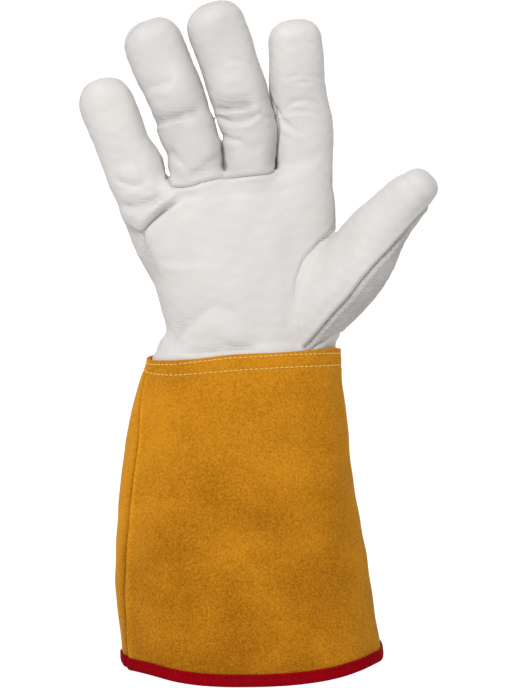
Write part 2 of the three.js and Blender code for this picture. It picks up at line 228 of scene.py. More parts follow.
# %% The thumb, and the palm with the wrist
THUMB = table(
    ["x", "z", "y", "half", "deep", "turn"],
    [17.0, 175.5, 1.0, 15.0, 12.0, 50],
    [26.5, 184.5, -2.0, 18.5, 14.5, 50],
    [36.8, 195.2, -5.0, 20.6, 16.0, 50],
    [48.0, 207.6, -8.5, 21.4, 16.2, 48],
    [57.2, 218.8, -12.5, 18.8, 14.8, 44],
    [65.3, 231.1, -17.0, 15.8, 12.8, 38],
    [75.3, 242.6, -21.5, 12.9, 11.4, 26],
    [80.7, 248.3, -24.0, 11.4, 10.4, 16],
    [83.7, 251.0, -25.2, 9.9, 9.4, 10],
)
DIGITS = {**FINGERS, "thumb": THUMB}

# square is 2 for an ellipse and more for squarer sides; the levels tilt up towards the index finger, about a
# place at TILT_X.
PALM = table(
    ["z", "x", "half", "front", "back", "square", "tilt"],
    [138.0, -4.4, 48.1, 23.4, 23.4, 2.3, 0],
    [162.0, -4.4, 48.1, 23.4, 23.4, 2.3, 0],
    [168.5, -3.7, 46.1, 22.2, 21.8, 2.3, 0],
    [173.0, -3.6, 44.5, 20.8, 20.0, 2.35, 0],
    [179.3, -2.1, 42.8, 20.6, 17.6, 2.35, 0],
    [189.6, -2.6, 44.0, 20.6, 16.6, 2.2, 0],
    [200.0, -3.8, 46.0, 20.2, 16.2, 2.15, 0],
    [210.3, -6.2, 49.0, 19.2, 16.0, 2.15, 0],
    [220.7, -8.9, 51.8, 18.1, 15.8, 2.2, 0],
    [233.7, -10.6, 52.9, 16.6, 15.2, 2.3, 0],
    [245.0, -12.8, 53.8, 14.8, 14.4, 2.5, 0.04],
    [251.0, -14.4, 52.8, 13.4, 13.6, 2.6, 0.07],
    [270.0, -14.4, 52.8, 13.4, 13.6, 2.6, 0.08],
)
PALM_TOP, PALM_DOME, TILT_X = 250.0, 11.0, -15
print("digits:", {name: len(rows["z"]) for name, rows in DIGITS.items()})

# %% [markdown]
# ## One skin for the whole hand
# The skin branches into five digits, so no single grid of two parameters can cover it. It is drawn as a
# level surface instead: a function gives every point of space its distance from the skin, minus inside, and
# the skin is where that is zero. Digits and palm are blended where they meet, and the narrow gaps between
# neighbouring fingers are cut out as thin slabs.


# %% Distances to a digit and to the palm
def smooth_columns(rows, names, count):
    """A Catmull-Rom curve through a table's rows: each column becomes count values, evenly along the rows."""
    stacked = np.stack([rows[name] for name in names], axis=1)
    slope = np.gradient(stacked, axis=0)
    at = np.linspace(0, len(stacked) - 1, count)
    low = np.minimum(at.astype(int), len(stacked) - 2)
    t = (at - low)[:, None]
    start, end = stacked[low], stacked[low + 1]
    return (
        start * (2 * t**3 - 3 * t**2 + 1)
        + end * (3 * t**2 - 2 * t**3)
        + slope[low] * (t**3 - 2 * t**2 + t)
        + slope[low + 1] * (t**3 - t**2)
    )


# How square a digit's sections are, and its dome; 2 is an ellipse.
SQUARE, DOME_SQUARE = 2.25, 2.5


def rounded(across, through, along, square=SQUARE):
    """Distance from a squared ellipse with a dome, from lengths already divided by the half sizes.

    Each argument is a pair: the length as a share of its half size, and that half size. The shares are added
    as powers, which is 1 on the surface, and the result is divided by its slope to make it a distance.
    """
    (u, a), (v, b), (w, c) = across, through, along
    u, v = np.maximum(np.abs(u), 1e-4), np.maximum(np.abs(v), 1e-4)
    ring = (u**square + v**square) ** (1 / square)
    whole = (ring**DOME_SQUARE + w**DOME_SQUARE) ** (1 / DOME_SQUARE)
    by_ring = (ring / whole) ** (DOME_SQUARE - 1)
    by_w = (w / whole) ** (DOME_SQUARE - 1) / c
    by_u = by_ring * (u / ring) ** (square - 1) / a
    by_v = by_ring * (v / ring) ** (square - 1) / b
    return (whole - 1) / np.sqrt(by_u**2 + by_v**2 + by_w**2)


def unit(vectors):
    """Vectors scaled to length 1."""
    return vectors / np.linalg.norm(vectors, axis=-1, keepdims=True)


AXIS_POINTS, LEVEL_COUNT = 26, 90
AXIS_NAMES = ["x", "y", "z", "half", "deep", "turn"]
AXES = {name: smooth_columns(rows, AXIS_NAMES, AXIS_POINTS) for name, rows in DIGITS.items()}
LEVELS = smooth_columns(PALM, ["z", "x", "half", "front", "back", "square"], LEVEL_COUNT)


def digit_place(points, name):
    """Where points lie in a digit: station along it, then lengths across, through and past its last section.

    The nearest stretch of the axis is found for each point, and the section there gives the directions.
    """
    axis = AXES[name]
    centres = axis[:, :3]
    best = np.full(len(points), np.inf)
    station = np.zeros(len(points))
    for i in range(len(axis) - 1):
        step = centres[i + 1] - centres[i]
        share = np.clip((points - centres[i]) @ step / (step @ step), 0, 1)
        gap = points - centres[i] - share[:, None] * step
        distance = (gap * gap).sum(1)
        nearer = distance < best
        best = np.where(nearer, distance, best)
        station = np.where(nearer, i + share, station)
    stations = np.arange(len(axis))
    at = read_rows(station, stations, axis)
    forward = unit(read_rows(station, stations, np.gradient(centres, axis=0)))
    side = unit(np.cross(np.array([0.0, 1.0, 0.0]), forward))
    front_to_back = np.cross(forward, side)
    turn = np.radians(at[:, 5:6])
    across = side * np.cos(turn) - front_to_back * np.sin(turn)
    through = side * np.sin(turn) + front_to_back * np.cos(turn)
    offset = points - at[:, :3]
    u, v, w = [(offset * direction).sum(1) for direction in (across, through, forward)]
    return station, u, v, w, at[:, 3], at[:, 4]


# A digit's distance is worked out within NEAR of its axis, and is FAR elsewhere.
NEAR, FAR, ROOT_DOME = 28, 12.0, 14.0


def digit_distance(points, name):
    """Distance to a digit's skin, worked out only near it."""
    centres = AXES[name][:, :3]
    near = np.all((points > centres.min(0) - NEAR) & (points < centres.max(0) + NEAR), axis=1)
    distance = np.full(len(points), FAR)
    _, u, v, w, half, deep = digit_place(points[near], name)
    dome = np.where(w > 0, DOMES[name], ROOT_DOME)
    distance[near] = rounded((u / half, half), (v / deep, deep), (np.abs(w) / dome, dome))
    return distance


def palm_distance(points):
    """Distance to the palm and wrist: level squared ellipses, closed at the knuckles by a dome."""
    x, y, z = points.T
    level = z - np.interp(z, PALM["z"], PALM["tilt"]) * (x - TILT_X)
    middle, half, front, back, square = read_rows(level, LEVELS[:, 0], LEVELS[:, 1:]).T
    deep = np.where(y < 0, front, back)
    past = np.maximum(level - PALM_TOP, 0) / PALM_DOME
    return rounded(((x - middle) / half, half), (y / deep, deep), (past, PALM_DOME), square)


# %% [markdown]
# ### Blends and gaps
# Two distances are joined by a soft minimum, which rounds the corner between them over a given width. Where
# two fingers touch, the gap between them is cut where they are equally near. Between the little and ring
# fingers it runs aslant, so that no light shows through.


# %% The whole field
def soft_min(a, b, width):
    """The smaller of two distances, with the corner between them rounded over a width."""
    overlap = np.maximum(width - np.abs(a - b), 0) / width
    return np.minimum(a, b) - overlap**2 * width / 4


def bell(value):
    """A bell-shaped curve, 1 at zero."""
    return np.exp(-(value * value))


def soft_step(value, start, end):
    """0 before start, 1 after end and a smooth S between."""
    t = np.clip((value - start) / (end - start), 0, 1)
    return t * t * (3 - 2 * t)


# Each gap lies where two fingers are equally near, and near a line that gives x at a few heights. It is open
# above its foot. From its pit to its foot it is a dent in the front, as deep as hold says: that is a distance
# behind the fingers' middle plane. A slant leads it aside towards the back.
GAPS = [
    {
        "between": ("little", "ring"),
        "z": [256, 272, 290, 340],
        "x": [-43.4, -47.9, -54.5, -80],
        "foot": 263.0,
        "pit": 257.5,
        "slant": 0.15,
        "hold": 3.0,
    },
    {
        "between": ("ring", "middle"),
        "z": [258, 272, 283, 304, 314, 324, 340],
        "x": [-13.8, -15.6, -17.8, -24.2, -28.0, -32.3, -38.0],
        "foot": 277.0,
        "pit": 260.3,
        "slant": 0.0,
        "hold": -4.5,
    },
    {
        "between": ("middle", "index"),
        "z": [258, 272, 283, 294, 304, 314, 324, 340],
        "x": [12.0, 12.8, 13.9, 11.4, 9.0, 6.7, 4.6, 2.5],
        "foot": 300.0,
        "pit": 262.5,
        "slant": 0.0,
        "hold": 0.0,
    },
]
GAP_WIDTH, PIT_WIDTH, GAP_REACH, GAP_ROUNDING = 0.8, 0.7, 7, 0.8
DIGIT_BLEND, PALM_BLEND, BALL_BLEND = 1.0, 4.5, 5.5


def skin_distance(points):
    """Distance of points, in millimetres, from the outside of the hand's leather."""
    x, y, z = points.T
    parts = {name: digit_distance(points, name) for name in DIGITS}
    digits = None
    for distance in parts.values():
        digits = distance if digits is None else soft_min(digits, distance, DIGIT_BLEND)
    blend = PALM_BLEND + BALL_BLEND * soft_step(x, 20, 40) * soft_step(-z, -225, -205)
    whole = soft_min(palm_distance(points), digits, blend)
    behind = y - curl(z)
    for gap in GAPS:
        left, right = gap["between"]
        middle = (parts[left] - parts[right]) / 2 + gap["slant"] * behind
        near = np.abs(x - np.interp(z, gap["z"], gap["x"])) - GAP_REACH
        wide = GAP_WIDTH / 2 + PIT_WIDTH * bell((z - gap["pit"] - 2.5) / 2.5)
        height = np.maximum(z - gap["foot"], np.minimum(z - gap["pit"], gap["hold"] - behind))
        slab = np.minimum(np.minimum(wide - np.abs(middle), height), -near)
        whole = -soft_min(-whole, -slab, GAP_ROUNDING)
    return whole


# %% [markdown]
# ### From a field to a mesh
# The field is sampled on a grid of small boxes. Each box that the skin passes through gets one point, at the
# mean of the places where the skin crosses its edges, and the points of the four boxes round each crossed
# edge make one face. The points are then pulled onto the skin along the field's slope, and evened out.


# %% One point for each crossed box, one face for each crossed edge
def level_surface(field, axes):
    """The zero level of a field on a grid, as points and four-cornered faces that face outwards."""
    inside = field < 0
    corners = np.array([[i, j, k] for i in (0, 1) for j in (0, 1) for k in (0, 1)])
    size = np.array(field.shape) - 1

    def shifted(array, corner):
        return array[tuple(slice(c, c + n) for c, n in zip(corner, size))]

    count = sum(shifted(inside, corner).astype(np.int8) for corner in corners)
    cells = np.argwhere((count > 0) & (count < 8))
    values = np.stack([field[tuple((cells + corner).T)] for corner in corners], axis=1)
    total = np.zeros((len(cells), 3))
    crossings = np.zeros(len(cells))
    for a in range(8):
        for b in range(a + 1, 8):
            if np.abs(corners[a] - corners[b]).sum() != 1:
                continue
            crossed = (values[:, a] < 0) != (values[:, b] < 0)
            share = np.where(crossed, values[:, a] / (values[:, a] - values[:, b] + 1e-12), 0)
            place = corners[a] + share[:, None] * (corners[b] - corners[a])
            total += np.where(crossed[:, None], place, 0)
            crossings += crossed
    place = cells + total / crossings[:, None]
    points = np.stack([np.interp(place[:, k], np.arange(len(axes[k])), axes[k]) for k in range(3)], axis=1)
    number = np.full(field.shape, -1)
    number[tuple(cells.T)] = np.arange(len(cells))
    faces = []
    for axis in range(3):
        one, two = np.eye(3, dtype=int)[[(axis + 1) % 3, (axis + 2) % 3]]
        ahead = np.roll(inside, -1, axis)
        edges = np.argwhere(inside != ahead)
        edges = edges[np.all((edges >= 1) & (edges < size), axis=1)]
        around = [edges - one - two, edges - two, edges, edges - one]
        quad = np.stack([number[tuple(cell.T)] for cell in around], axis=1)
        leaving = inside[tuple(edges.T)]
        faces.append(np.where(leaving[:, None], quad, quad[:, ::-1]))
    faces = np.concatenate(faces)
    return points, faces[np.all(faces >= 0, axis=1)]


SLOPE_STEP = 0.05


def slope_of(function, points):
    """The slope of a distance function at points, by differences either side along each axis."""
    parts = []
    for offset in np.eye(3) * SLOPE_STEP:
        parts.append((function(points + offset) - function(points - offset)) / (2 * SLOPE_STEP))
    return np.stack(parts, axis=1)


def pulled_onto(function, points, rounds):
    """Points moved onto the zero level: each round goes back along the slope by the distance."""
    for _ in range(rounds):
        slope = slope_of(function, points)
        distance = function(points)[:, None]
        points = points - distance * slope / np.maximum((slope * slope).sum(1, keepdims=True), 0.05)
    return points


# %% Draw the skin
COARSE = 1.0
# The grid's stretches of x, each with its step: it is finer where the fingers nearly touch.
STRETCHES = [(-93, -24, 0.85), (-24, 16, 0.5), (16, 99, 0.85)]
Y_RANGE, Z_RANGE = (-40, 26), (145, 352)
across = np.concatenate([np.arange(start, stop, step * COARSE) for start, stop, step in STRETCHES])
grid_axes = [across, np.arange(*Y_RANGE, COARSE), np.arange(*Z_RANGE, COARSE)]
grid = np.stack(np.meshgrid(*grid_axes, indexing="ij"), axis=-1)
samples = skin_distance(grid.reshape(-1, 3)).reshape(grid.shape[:3])
skin, skin_faces = level_surface(samples, grid_axes)
skin = pulled_onto(skin_distance, skin, 2)
print("skin:", len(skin), "points,", len(skin_faces), "faces")

# %% [markdown]
# ## Cutting the skin into its panels
# A glove is sewn from panels, and the seams are what the eye reads first. Each panel is given as a signed
# function of place, below zero inside it, and panels are asked in order, so that each seam is the edge of
# the panel asked first. Their edges are the lines that were seen on the real glove: the base of the two
# middle fingers, the curve round the ball of the thumb, and the seams along the digits.

# %% Lines of the seams
FINGER_BASE = {
    "x": [-43.2, -41.4, -36.1, -31.8, -28.4, -24.1, -19.8, -14.7, -8.7, 0.6, 9.1, 11.8, 12.3],
    "z": [256.4, 252.8, 252.3, 252.8, 253.2, 254.2, 255.6, 257.0, 257.3, 258.1, 259.3, 261.0, 266.2],
}
THUMB_ARC = {
    "z": [165, 169.4, 182, 194.8, 204.6, 215, 222.3, 225.9, 230.5],
    "x": [28.6, 27.5, 23.6, 21.8, 22.3, 26.4, 32.6, 36.3, 44.5],
}
THUMB_SEAM = {
    "z": [169.9, 176.3, 186.9, 195.1, 204.4, 211.4, 217.3, 224.6, 231.9, 238.9, 244.3, 248, 252, 258],
    "x": [27.5, 32.7, 42.0, 49.6, 56.3, 62.2, 68.2, 74.2, 80.5, 87.0, 91.6, 93.6, 95.5, 98.0],
}
THUMB_FOOT = {"x": [24, 30.6, 33.4, 37.3, 40.4, 43.3, 60], "z": [166, 169.4, 171.5, 173, 175.1, 176.7, 183]}
THUMB_BACK_EDGE = {"z": [165, 175, 190, 205, 220, 231], "x": [46, 39, 34, 34, 39, 45]}
PANELS = ["fourchette_" + "_".join(gap["between"]) for gap in GAPS]
PANELS += ["thumb_front", "thumb_back", "finger_fronts", "palm", "hand_back"]


def on_line(value, line, known, wanted):
    """Reads a seam's line: the wanted coordinate where the known one has this value."""
    return np.interp(value, line[known], line[wanted])


# %% Which side of each panel's edge a point lies
# How far the seam between front and back comes forward over each fingertip on the left, and how far it stays
# back on the right.
TIP_FORWARD = {"little": 3.0, "ring": 5.5, "middle": 3.2, "index": -2.6}
TIP_BACK = 2.6
# The fourchettes' half width, and how far the middle of their strip lies behind the fingers' middle plane.
STRIP_HALF, STRIP_BACK = 5.6, 4.4


def tip_shift(points):
    """How far forward the seam between front and back lies over the fingertips."""
    shift = 0
    for name, forward in TIP_FORWARD.items():
        station, u, _, w, half, _ = digit_place(points, name)
        near = soft_step(-np.abs(u), -half - 4, -half)
        to_left = soft_step(-u / half, -0.7, 0.5)
        over = forward * to_left - TIP_BACK * (1 - to_left)
        shift = shift + over * near * soft_step(w, 1.0, 8.0) * soft_step(station, 12, 22)
    return shift


def in_all(*sides):
    """Below zero where every one of the sides is."""
    return np.maximum.reduce(sides)


def fourchette_side(points, left, right, foot):
    """Below zero in the strip between two fingers, on the sides that face each other."""
    y, z = points[:, 1], points[:, 2]
    station_l, u_l, _, _, half_l, _ = digit_place(points, left)
    station_r, u_r, _, _, half_r, _ = digit_place(points, right)
    nearer_left = np.abs(u_l - half_l) < np.abs(u_r + half_r)
    share = np.where(nearer_left, station_l, station_r) / (len(AXES[left]) - 1)
    strip = STRIP_HALF * (1 - soft_step(share, 0.78, 1.02)) - 0.3
    across = np.abs(y - curl(z) - STRIP_BACK) - strip
    return in_all(across, 0.4 * half_l - u_l, 0.4 * half_r + u_r, foot - 4 - z)


# How far behind the thumb's middle plane the seam between its panels lies at most. The seam's line leans, so
# a level distance from it counts less.
THUMB_BACK = {"outer": 4, "inner": 3, "tip": 5.0}
LEANING = 0.72


def thumb_seam_side(points):
    """Below zero on the thumb's front: the seam follows its line, and lies further back over the tip."""
    _, u, v, w, _, _ = digit_place(points, "thumb")
    outer = (points[:, 0] - on_line(points[:, 2], THUMB_SEAM, "z", "x")) * LEANING
    tip = soft_step(w, 4, 8.5)
    side_seam = np.where(u > 0, np.maximum(outer, v - THUMB_BACK["outer"]), v - THUMB_BACK["inner"])
    return side_seam * (1 - tip) + (v - THUMB_BACK["tip"]) * tip


# The thumb's back starts at BACK_FROM and wraps round its ball. The seam between the palm and the back of the
# hand comes forward at the wrist and at the index finger's root.
BACK_FROM, BALL_WRAP, WRIST_FORWARD, EDGE_FORWARD = 27.5, 16, 8, 3.4


def panel_sides(points):
    """A row for each panel but the last, below zero where the point is in it and in no panel before it."""
    x, y, z = points.T
    rows = [fourchette_side(points, *gap["between"], gap["pit"] + 1) for gap in GAPS]
    thumb_seam = thumb_seam_side(points)
    arc = on_line(z, THUMB_ARC, "z", "x") - x
    rows.append(in_all(thumb_seam, arc, np.where(z > 250, -9, y - 1)))
    wrap = BALL_WRAP * (1 - soft_step(y, -4, 8)) * (1 - soft_step(z, 220, 231))
    back_edge = on_line(z, THUMB_BACK_EDGE, "z", "x") - x - wrap
    foot = on_line(x, THUMB_FOOT, "x", "z") - z
    rows.append(in_all(-thumb_seam, back_edge, foot, BACK_FROM - x))
    front = y - curl(z) - 1.2 * soft_step(z, 250, 262) + tip_shift(points)
    base = on_line(x, FINGER_BASE, "x", "z") - z
    rows.append(in_all(front, base, on_line(z, GAPS[0], "z", "x") - x, x - on_line(z, GAPS[2], "z", "x")))
    wrist = WRIST_FORWARD * soft_step(-x, 25, 40) * soft_step(-z, -183, -168)
    edge = EDGE_FORWARD * soft_step(x, 25, 36) * soft_step(-z, -285, -255)
    rows.append(np.maximum(front + wrist + edge, -arc))
    return np.stack(rows)


def panel_of(points):
    """The number of the panel that each point belongs to."""
    inside = panel_sides(points) < 0
    return np.where(inside.any(0), inside.argmax(0), len(PANELS) - 1)


face_panel = panel_of(skin[skin_faces].mean(1))
for number, name in enumerate(PANELS):
    print(name, (face_panel == number).sum(), "faces")


# %% Slide the panels' ragged edges onto the seams
def mesh_edges(faces):
    """Each edge once, as two point numbers, with the numbers of the faces on it, or -1."""
    ends = np.stack([faces.ravel(), np.roll(faces, -1, axis=1).ravel()], axis=1)
    ends.sort(axis=1)
    owner = np.repeat(np.arange(len(faces)), faces.shape[1])
    order = np.lexsort((ends[:, 1], ends[:, 0]))
    ends, owner = ends[order], owner[order]
    first = np.ones(len(ends), bool)
    first[1:] = (ends[1:] != ends[:-1]).any(1)
    start = np.flatnonzero(first)
    second = np.where(np.append(first[1:], True)[start], -1, owner[np.minimum(start + 1, len(owner) - 1)])
    return ends[start], np.stack([owner[start], second], axis=1)


edges, edge_faces = mesh_edges(skin_faces)
# A face that lies among three or four faces of another panel joins that panel, so that no scraps are left.
shared = edge_faces[edge_faces[:, 1] >= 0]
for _ in range(3):
    votes = np.zeros((len(skin_faces), len(PANELS)), np.int8)
    np.add.at(votes, (shared[:, 0], face_panel[shared[:, 1]]), 1)
    np.add.at(votes, (shared[:, 1], face_panel[shared[:, 0]]), 1)
    face_panel = np.where(votes.max(1) >= 3, votes.argmax(1), face_panel)
inner = edge_faces[:, 1] >= 0
is_seam = inner & (face_panel[edge_faces[:, 0]] != face_panel[edge_faces[:, 1]])
seam_edges = edges[is_seam]
seam_pairs = np.sort(face_panel[edge_faces[is_seam]], axis=1)
seam_points = np.unique(seam_edges)
rim_points = np.unique(edges[~inner])


def spread(points, ends, weight, chosen):
    """Chosen points moved by a weight towards the mean of the points that share an edge with them."""
    total = np.zeros_like(points)
    count = np.zeros(len(points))
    for a, b in ((0, 1), (1, 0)):
        for k in range(3):
            total[:, k] += np.bincount(ends[:, a], points[ends[:, b], k], len(points))
        count += np.bincount(ends[:, a], minlength=len(points))
    moved = points.copy()
    mean = total[chosen] / np.maximum(count[chosen], 1)[:, None]
    moved[chosen] += weight * (mean - points[chosen])
    return moved


# The panel whose edge a seam point lies on is the one asked first of those that meet there.
first_panel = np.full(len(skin), len(PANELS))
np.minimum.at(first_panel, seam_edges.ravel(), np.repeat(seam_pairs[:, 0], 2))
at_seam = first_panel[seam_points]
ways = np.bincount(seam_edges.ravel(), minlength=len(skin))[seam_points]
plain = seam_points[ways == 2]


def seam_side(points):
    """The signed distance from its own seam, for the seam points."""
    return panel_sides(points)[at_seam, np.arange(len(points))]


LONGEST_MOVE = 0.7
for _ in range(3):
    here = skin[seam_points]
    slope = slope_of(seam_side, here)
    move = -seam_side(here)[:, None] * slope / np.maximum((slope * slope).sum(1, keepdims=True), 0.2)
    size = np.linalg.norm(move, axis=1, keepdims=True)
    skin[seam_points] = here + move * np.minimum(1, LONGEST_MOVE / np.maximum(size, 1e-6))
    skin = spread(skin, seam_edges, 0.5, plain)
    skin[seam_points] = pulled_onto(skin_distance, skin[seam_points], 1)

free = np.ones(len(skin), bool)
free[seam_points] = False
free[rim_points] = False
free = np.flatnonzero(free)
for _ in range(4):
    skin = spread(skin, edges, 0.5, free)
skin = pulled_onto(skin_distance, skin, 1)
print(len(seam_points), "points lie on seams")

# %% [markdown]
# ## Folds, grooves and the lie of the leather
# Leather that bends with the fingers keeps soft valleys across the joints, with a sharper crease at the foot
# of each and a bulge below it. Each fold is a row: three points of its line, left to right, how deep it is,
# how far it spreads above and below the line, and how high the bulge under it stands. The deep crease at the
# root of the little finger is where the worn palm buckles.


# %% A fold's profile
FOLD_COLUMNS = ["x0", "z0", "x1", "z1", "x2", "z2", "depth", "above", "below", "bulge"]
FOLDS = table(
    FOLD_COLUMNS,
    # the ring finger
    [-52.0, 286.3, -40.0, 288.6, -25.0, 291.5, 1.9, 5.5, 3.0, 0.5],
    [-50.0, 283.6, -43.5, 284.9, -35.0, 287.4, 1.2, 2.4, 1.0, 0.6],
    [-52.0, 296.0, -47.5, 296.6, -42.5, 297.4, 0.4, 1.6, 0.8, 0.1],
    [-57.0, 304.0, -50.0, 304.6, -40.0, 306.5, 1.0, 4.5, 3.0, 0.3],
    [-43.5, 273.0, -38.5, 267.6, -33.0, 262.8, 0.8, 2.6, 1.6, 0.4],
    [-33.5, 258.5, -24.5, 263.0, -16.0, 270.5, 1.2, 3.5, 4.5, 0.0],
    # the middle finger
    [-21.0, 292.6, -10.5, 292.3, 1.5, 294.2, 2.5, 6.4, 1.3, 0.8],
    [-19.5, 289.6, -7.0, 285.9, 5.2, 291.2, 1.3, 1.2, 1.5, 0.5],
    [-17.5, 281.0, -12.0, 278.0, -4.8, 276.6, 1.1, 1.1, 1.6, 0.5],
    [-7.5, 276.0, -2.0, 273.6, 4.0, 270.0, 0.8, 3.0, 3.5, 0.2],
    [3.8, 291.6, 7.5, 289.2, 12.0, 288.3, 0.7, 1.2, 1.4, 0.2],
    [-11.5, 318.4, -4.5, 317.6, 3.2, 315.0, 0.6, 1.1, 1.6, 0.2],
    [-22.5, 302.4, -13.0, 303.2, -3.5, 303.8, 0.3, 1.5, 1.0, 0.1],
    # the index finger
    [12.2, 295.0, 13.4, 292.3, 15.0, 289.8, 1.3, 0.9, 0.9, 0.0],
    [14.5, 291.2, 24.5, 297.0, 36.5, 294.8, 0.9, 3.4, 1.3, 0.3],
    [15.2, 290.0, 25.0, 292.0, 40.0, 287.8, 0.5, 1.0, 1.1, 0.3],
    [24.0, 294.6, 31.0, 294.0, 39.0, 291.0, 0.4, 0.7, 0.8, 0.2],
    [14.8, 288.6, 21.0, 283.6, 28.0, 279.6, 0.8, 1.0, 1.7, 0.4],
    [17.5, 308.2, 26.8, 309.9, 38.0, 307.6, 0.4, 1.2, 0.8, 0.15],
    [21.0, 305.4, 28.0, 306.2, 36.5, 304.4, 0.25, 0.8, 0.8, 0.1],
    [27.0, 327.6, 31.0, 326.8, 36.2, 324.0, 0.5, 1.3, 1.0, 0.2],
    [27.5, 330.4, 31.5, 329.8, 36.0, 327.4, 0.3, 0.9, 0.8, 0.1],
    [17.0, 264.0, 26.0, 265.4, 35.5, 270.0, 0.6, 3.2, 2.2, 0.2],
    [33.5, 258.5, 38.0, 253.5, 42.0, 248.0, 0.35, 1.4, 1.4, 0.1],
    [35.5, 262.5, 39.5, 258.0, 43.0, 252.0, 0.3, 1.0, 1.2, 0.1],
    # the root of the little finger
    [-71.0, 262.0, -64.5, 266.0, -55.0, 261.0, 0.7, 4.5, 3.0, 0.2],
    [-71.5, 257.6, -64.0, 254.2, -54.0, 254.6, 1.4, 2.6, 1.4, 0.3],
    [-68.5, 251.0, -61.5, 251.2, -51.5, 251.6, 0.5, 1.4, 1.0, 0.2],
    [-69.5, 243.6, -57.5, 243.6, -45.0, 250.4, 2.0, 4.2, 2.2, 0.6],
    [-59.0, 241.2, -54.0, 242.8, -49.0, 245.6, 0.3, 0.8, 0.8, 0.1],
    [-57.5, 238.2, -54.5, 240.0, -51.0, 243.0, 0.25, 0.8, 0.7, 0.1],
    # the deep crease of the palm, its lower end, and the ridge above it
    [-57.5, 228.8, -48.5, 237.3, -37.5, 246.2, 2.6, 1.7, 1.3, 0.0],
    [-58.0, 228.0, -50.5, 235.6, -44.0, 240.6, 1.5, 3.2, 2.6, 0.0],
    [-60.0, 233.2, -50.5, 240.6, -38.0, 249.8, -1.0, 2.4, 2.0, 0.0],
    [-68.0, 233.5, -61.5, 230.0, -54.5, 226.5, 1.7, 4.5, 3.8, 0.0],
    [-58.5, 232.0, -53.5, 218.0, -47.5, 203.0, 1.1, 5.0, 5.0, 0.0],
    [-38.0, 246.0, -34.0, 248.0, -29.0, 249.5, 0.5, 2.6, 2.2, 0.0],
    [-58.5, 219.5, -56.0, 222.8, -52.0, 226.0, 0.35, 0.8, 0.8, 0.1],
    [-56.5, 217.6, -54.0, 221.0, -50.5, 224.4, 0.3, 0.7, 0.7, 0.1],
    # the palm and the wrist
    [-49.0, 215.5, -38.0, 214.2, -25.0, 213.8, 0.5, 3.4, 1.8, 0.2],
    [-47.0, 193.0, -41.0, 189.0, -37.0, 182.0, 0.5, 3.5, 3.0, 0.0],
    [-42.0, 171.5, -34.0, 182.0, -21.0, 190.8, 1.3, 5.0, 4.0, 0.2],
    [-22.0, 191.8, -14.0, 190.8, -6.0, 185.6, 0.5, 1.8, 4.2, 0.1],
    [-38.0, 168.3, -20.0, 169.6, 4.0, 171.0, 2.2, 3.4, 2.6, 0.0],
    [-38.0, 171.8, -24.0, 175.0, -8.0, 172.2, 0.6, 1.6, 2.0, 0.3],
    [-13.2, 258.4, -12.6, 255.4, -11.6, 251.8, 0.4, 0.9, 0.9, 0.0],
    # the thumb and its ball
    [44.0, 231.0, 36.5, 224.0, 31.0, 217.0, 0.5, 2.0, 1.6, 0.3],
    [50.0, 226.0, 47.0, 217.0, 48.0, 209.0, 0.5, 3.2, 3.2, 0.0],
    [33.0, 183.5, 36.0, 189.5, 40.0, 194.5, 0.3, 1.6, 1.6, 0.1],
)


def across_fold(x, z, fold):
    """How far across a fold places lie, how much of it remains there as it fades, and the fold's direction.

    The fold's line runs from the first point to the last and bows out to the middle one, and it fades at both
    ends.
    """
    along_x, along_z = fold["x2"] - fold["x0"], fold["z2"] - fold["z0"]
    length = math.hypot(along_x, along_z)
    ux, uz = along_x / length, along_z / length
    bow = (fold["z1"] - fold["z0"]) * ux - (fold["x1"] - fold["x0"]) * uz
    share = ((x - fold["x0"]) * ux + (z - fold["z0"]) * uz) / length
    across = (z - fold["z0"]) * ux - (x - fold["x0"]) * uz - 4 * bow * share * (1 - share)
    remaining = soft_step(share, -0.12, 0.22) * soft_step(1 - share, -0.12, 0.22)
    return across, remaining, ux, uz


def fold_height(x, z, fold):
    """How far a fold lifts the leather at places of the front: less than zero along its line.

    Across the line the valley is a bell, wider above than below, and the bulge is a second bell under it.
    """
    across, remaining, _, _ = across_fold(x, z, fold)
    below, above = fold["below"], fold["above"]
    valley = bell(across / np.where(across > 0, above, below))
    bulge = bell((across + 2.1 * below) / (1.25 * below))
    return remaining * (fold["bulge"] * bulge - fold["depth"] * valley)


def fold_pinch(x, z, fold):
    """How far places move across a fold towards its line, as steps in x and z: this sharpens the crease."""
    across, remaining, ux, uz = across_fold(x, z, fold)
    reach = 1.4 * fold["below"] + 0.4 * fold["above"]
    strength = min(0.5, 0.3 * abs(fold["depth"]))
    step = -strength * remaining * across * bell(across / reach)
    return np.stack([-uz * step, 0 * step, ux * step], axis=1)


# %% Every fold, and the slow unevenness of a worn glove
WAVES, WAVE_HEIGHT = 9, 0.47


def uneven(points, size, seed):
    """A smooth random height of about one: a sum of waves of nearly one length in random directions."""
    random = np.random.default_rng(seed)
    directions = random.normal(size=(WAVES, 3))
    directions *= 2 * math.pi / size / np.linalg.norm(directions, axis=1, keepdims=True)
    directions *= random.uniform(0.7, 1.4, (WAVES, 1))
    return np.sin(points @ directions.T + random.uniform(0, 6.28, WAVES)).sum(1) * WAVE_HEIGHT


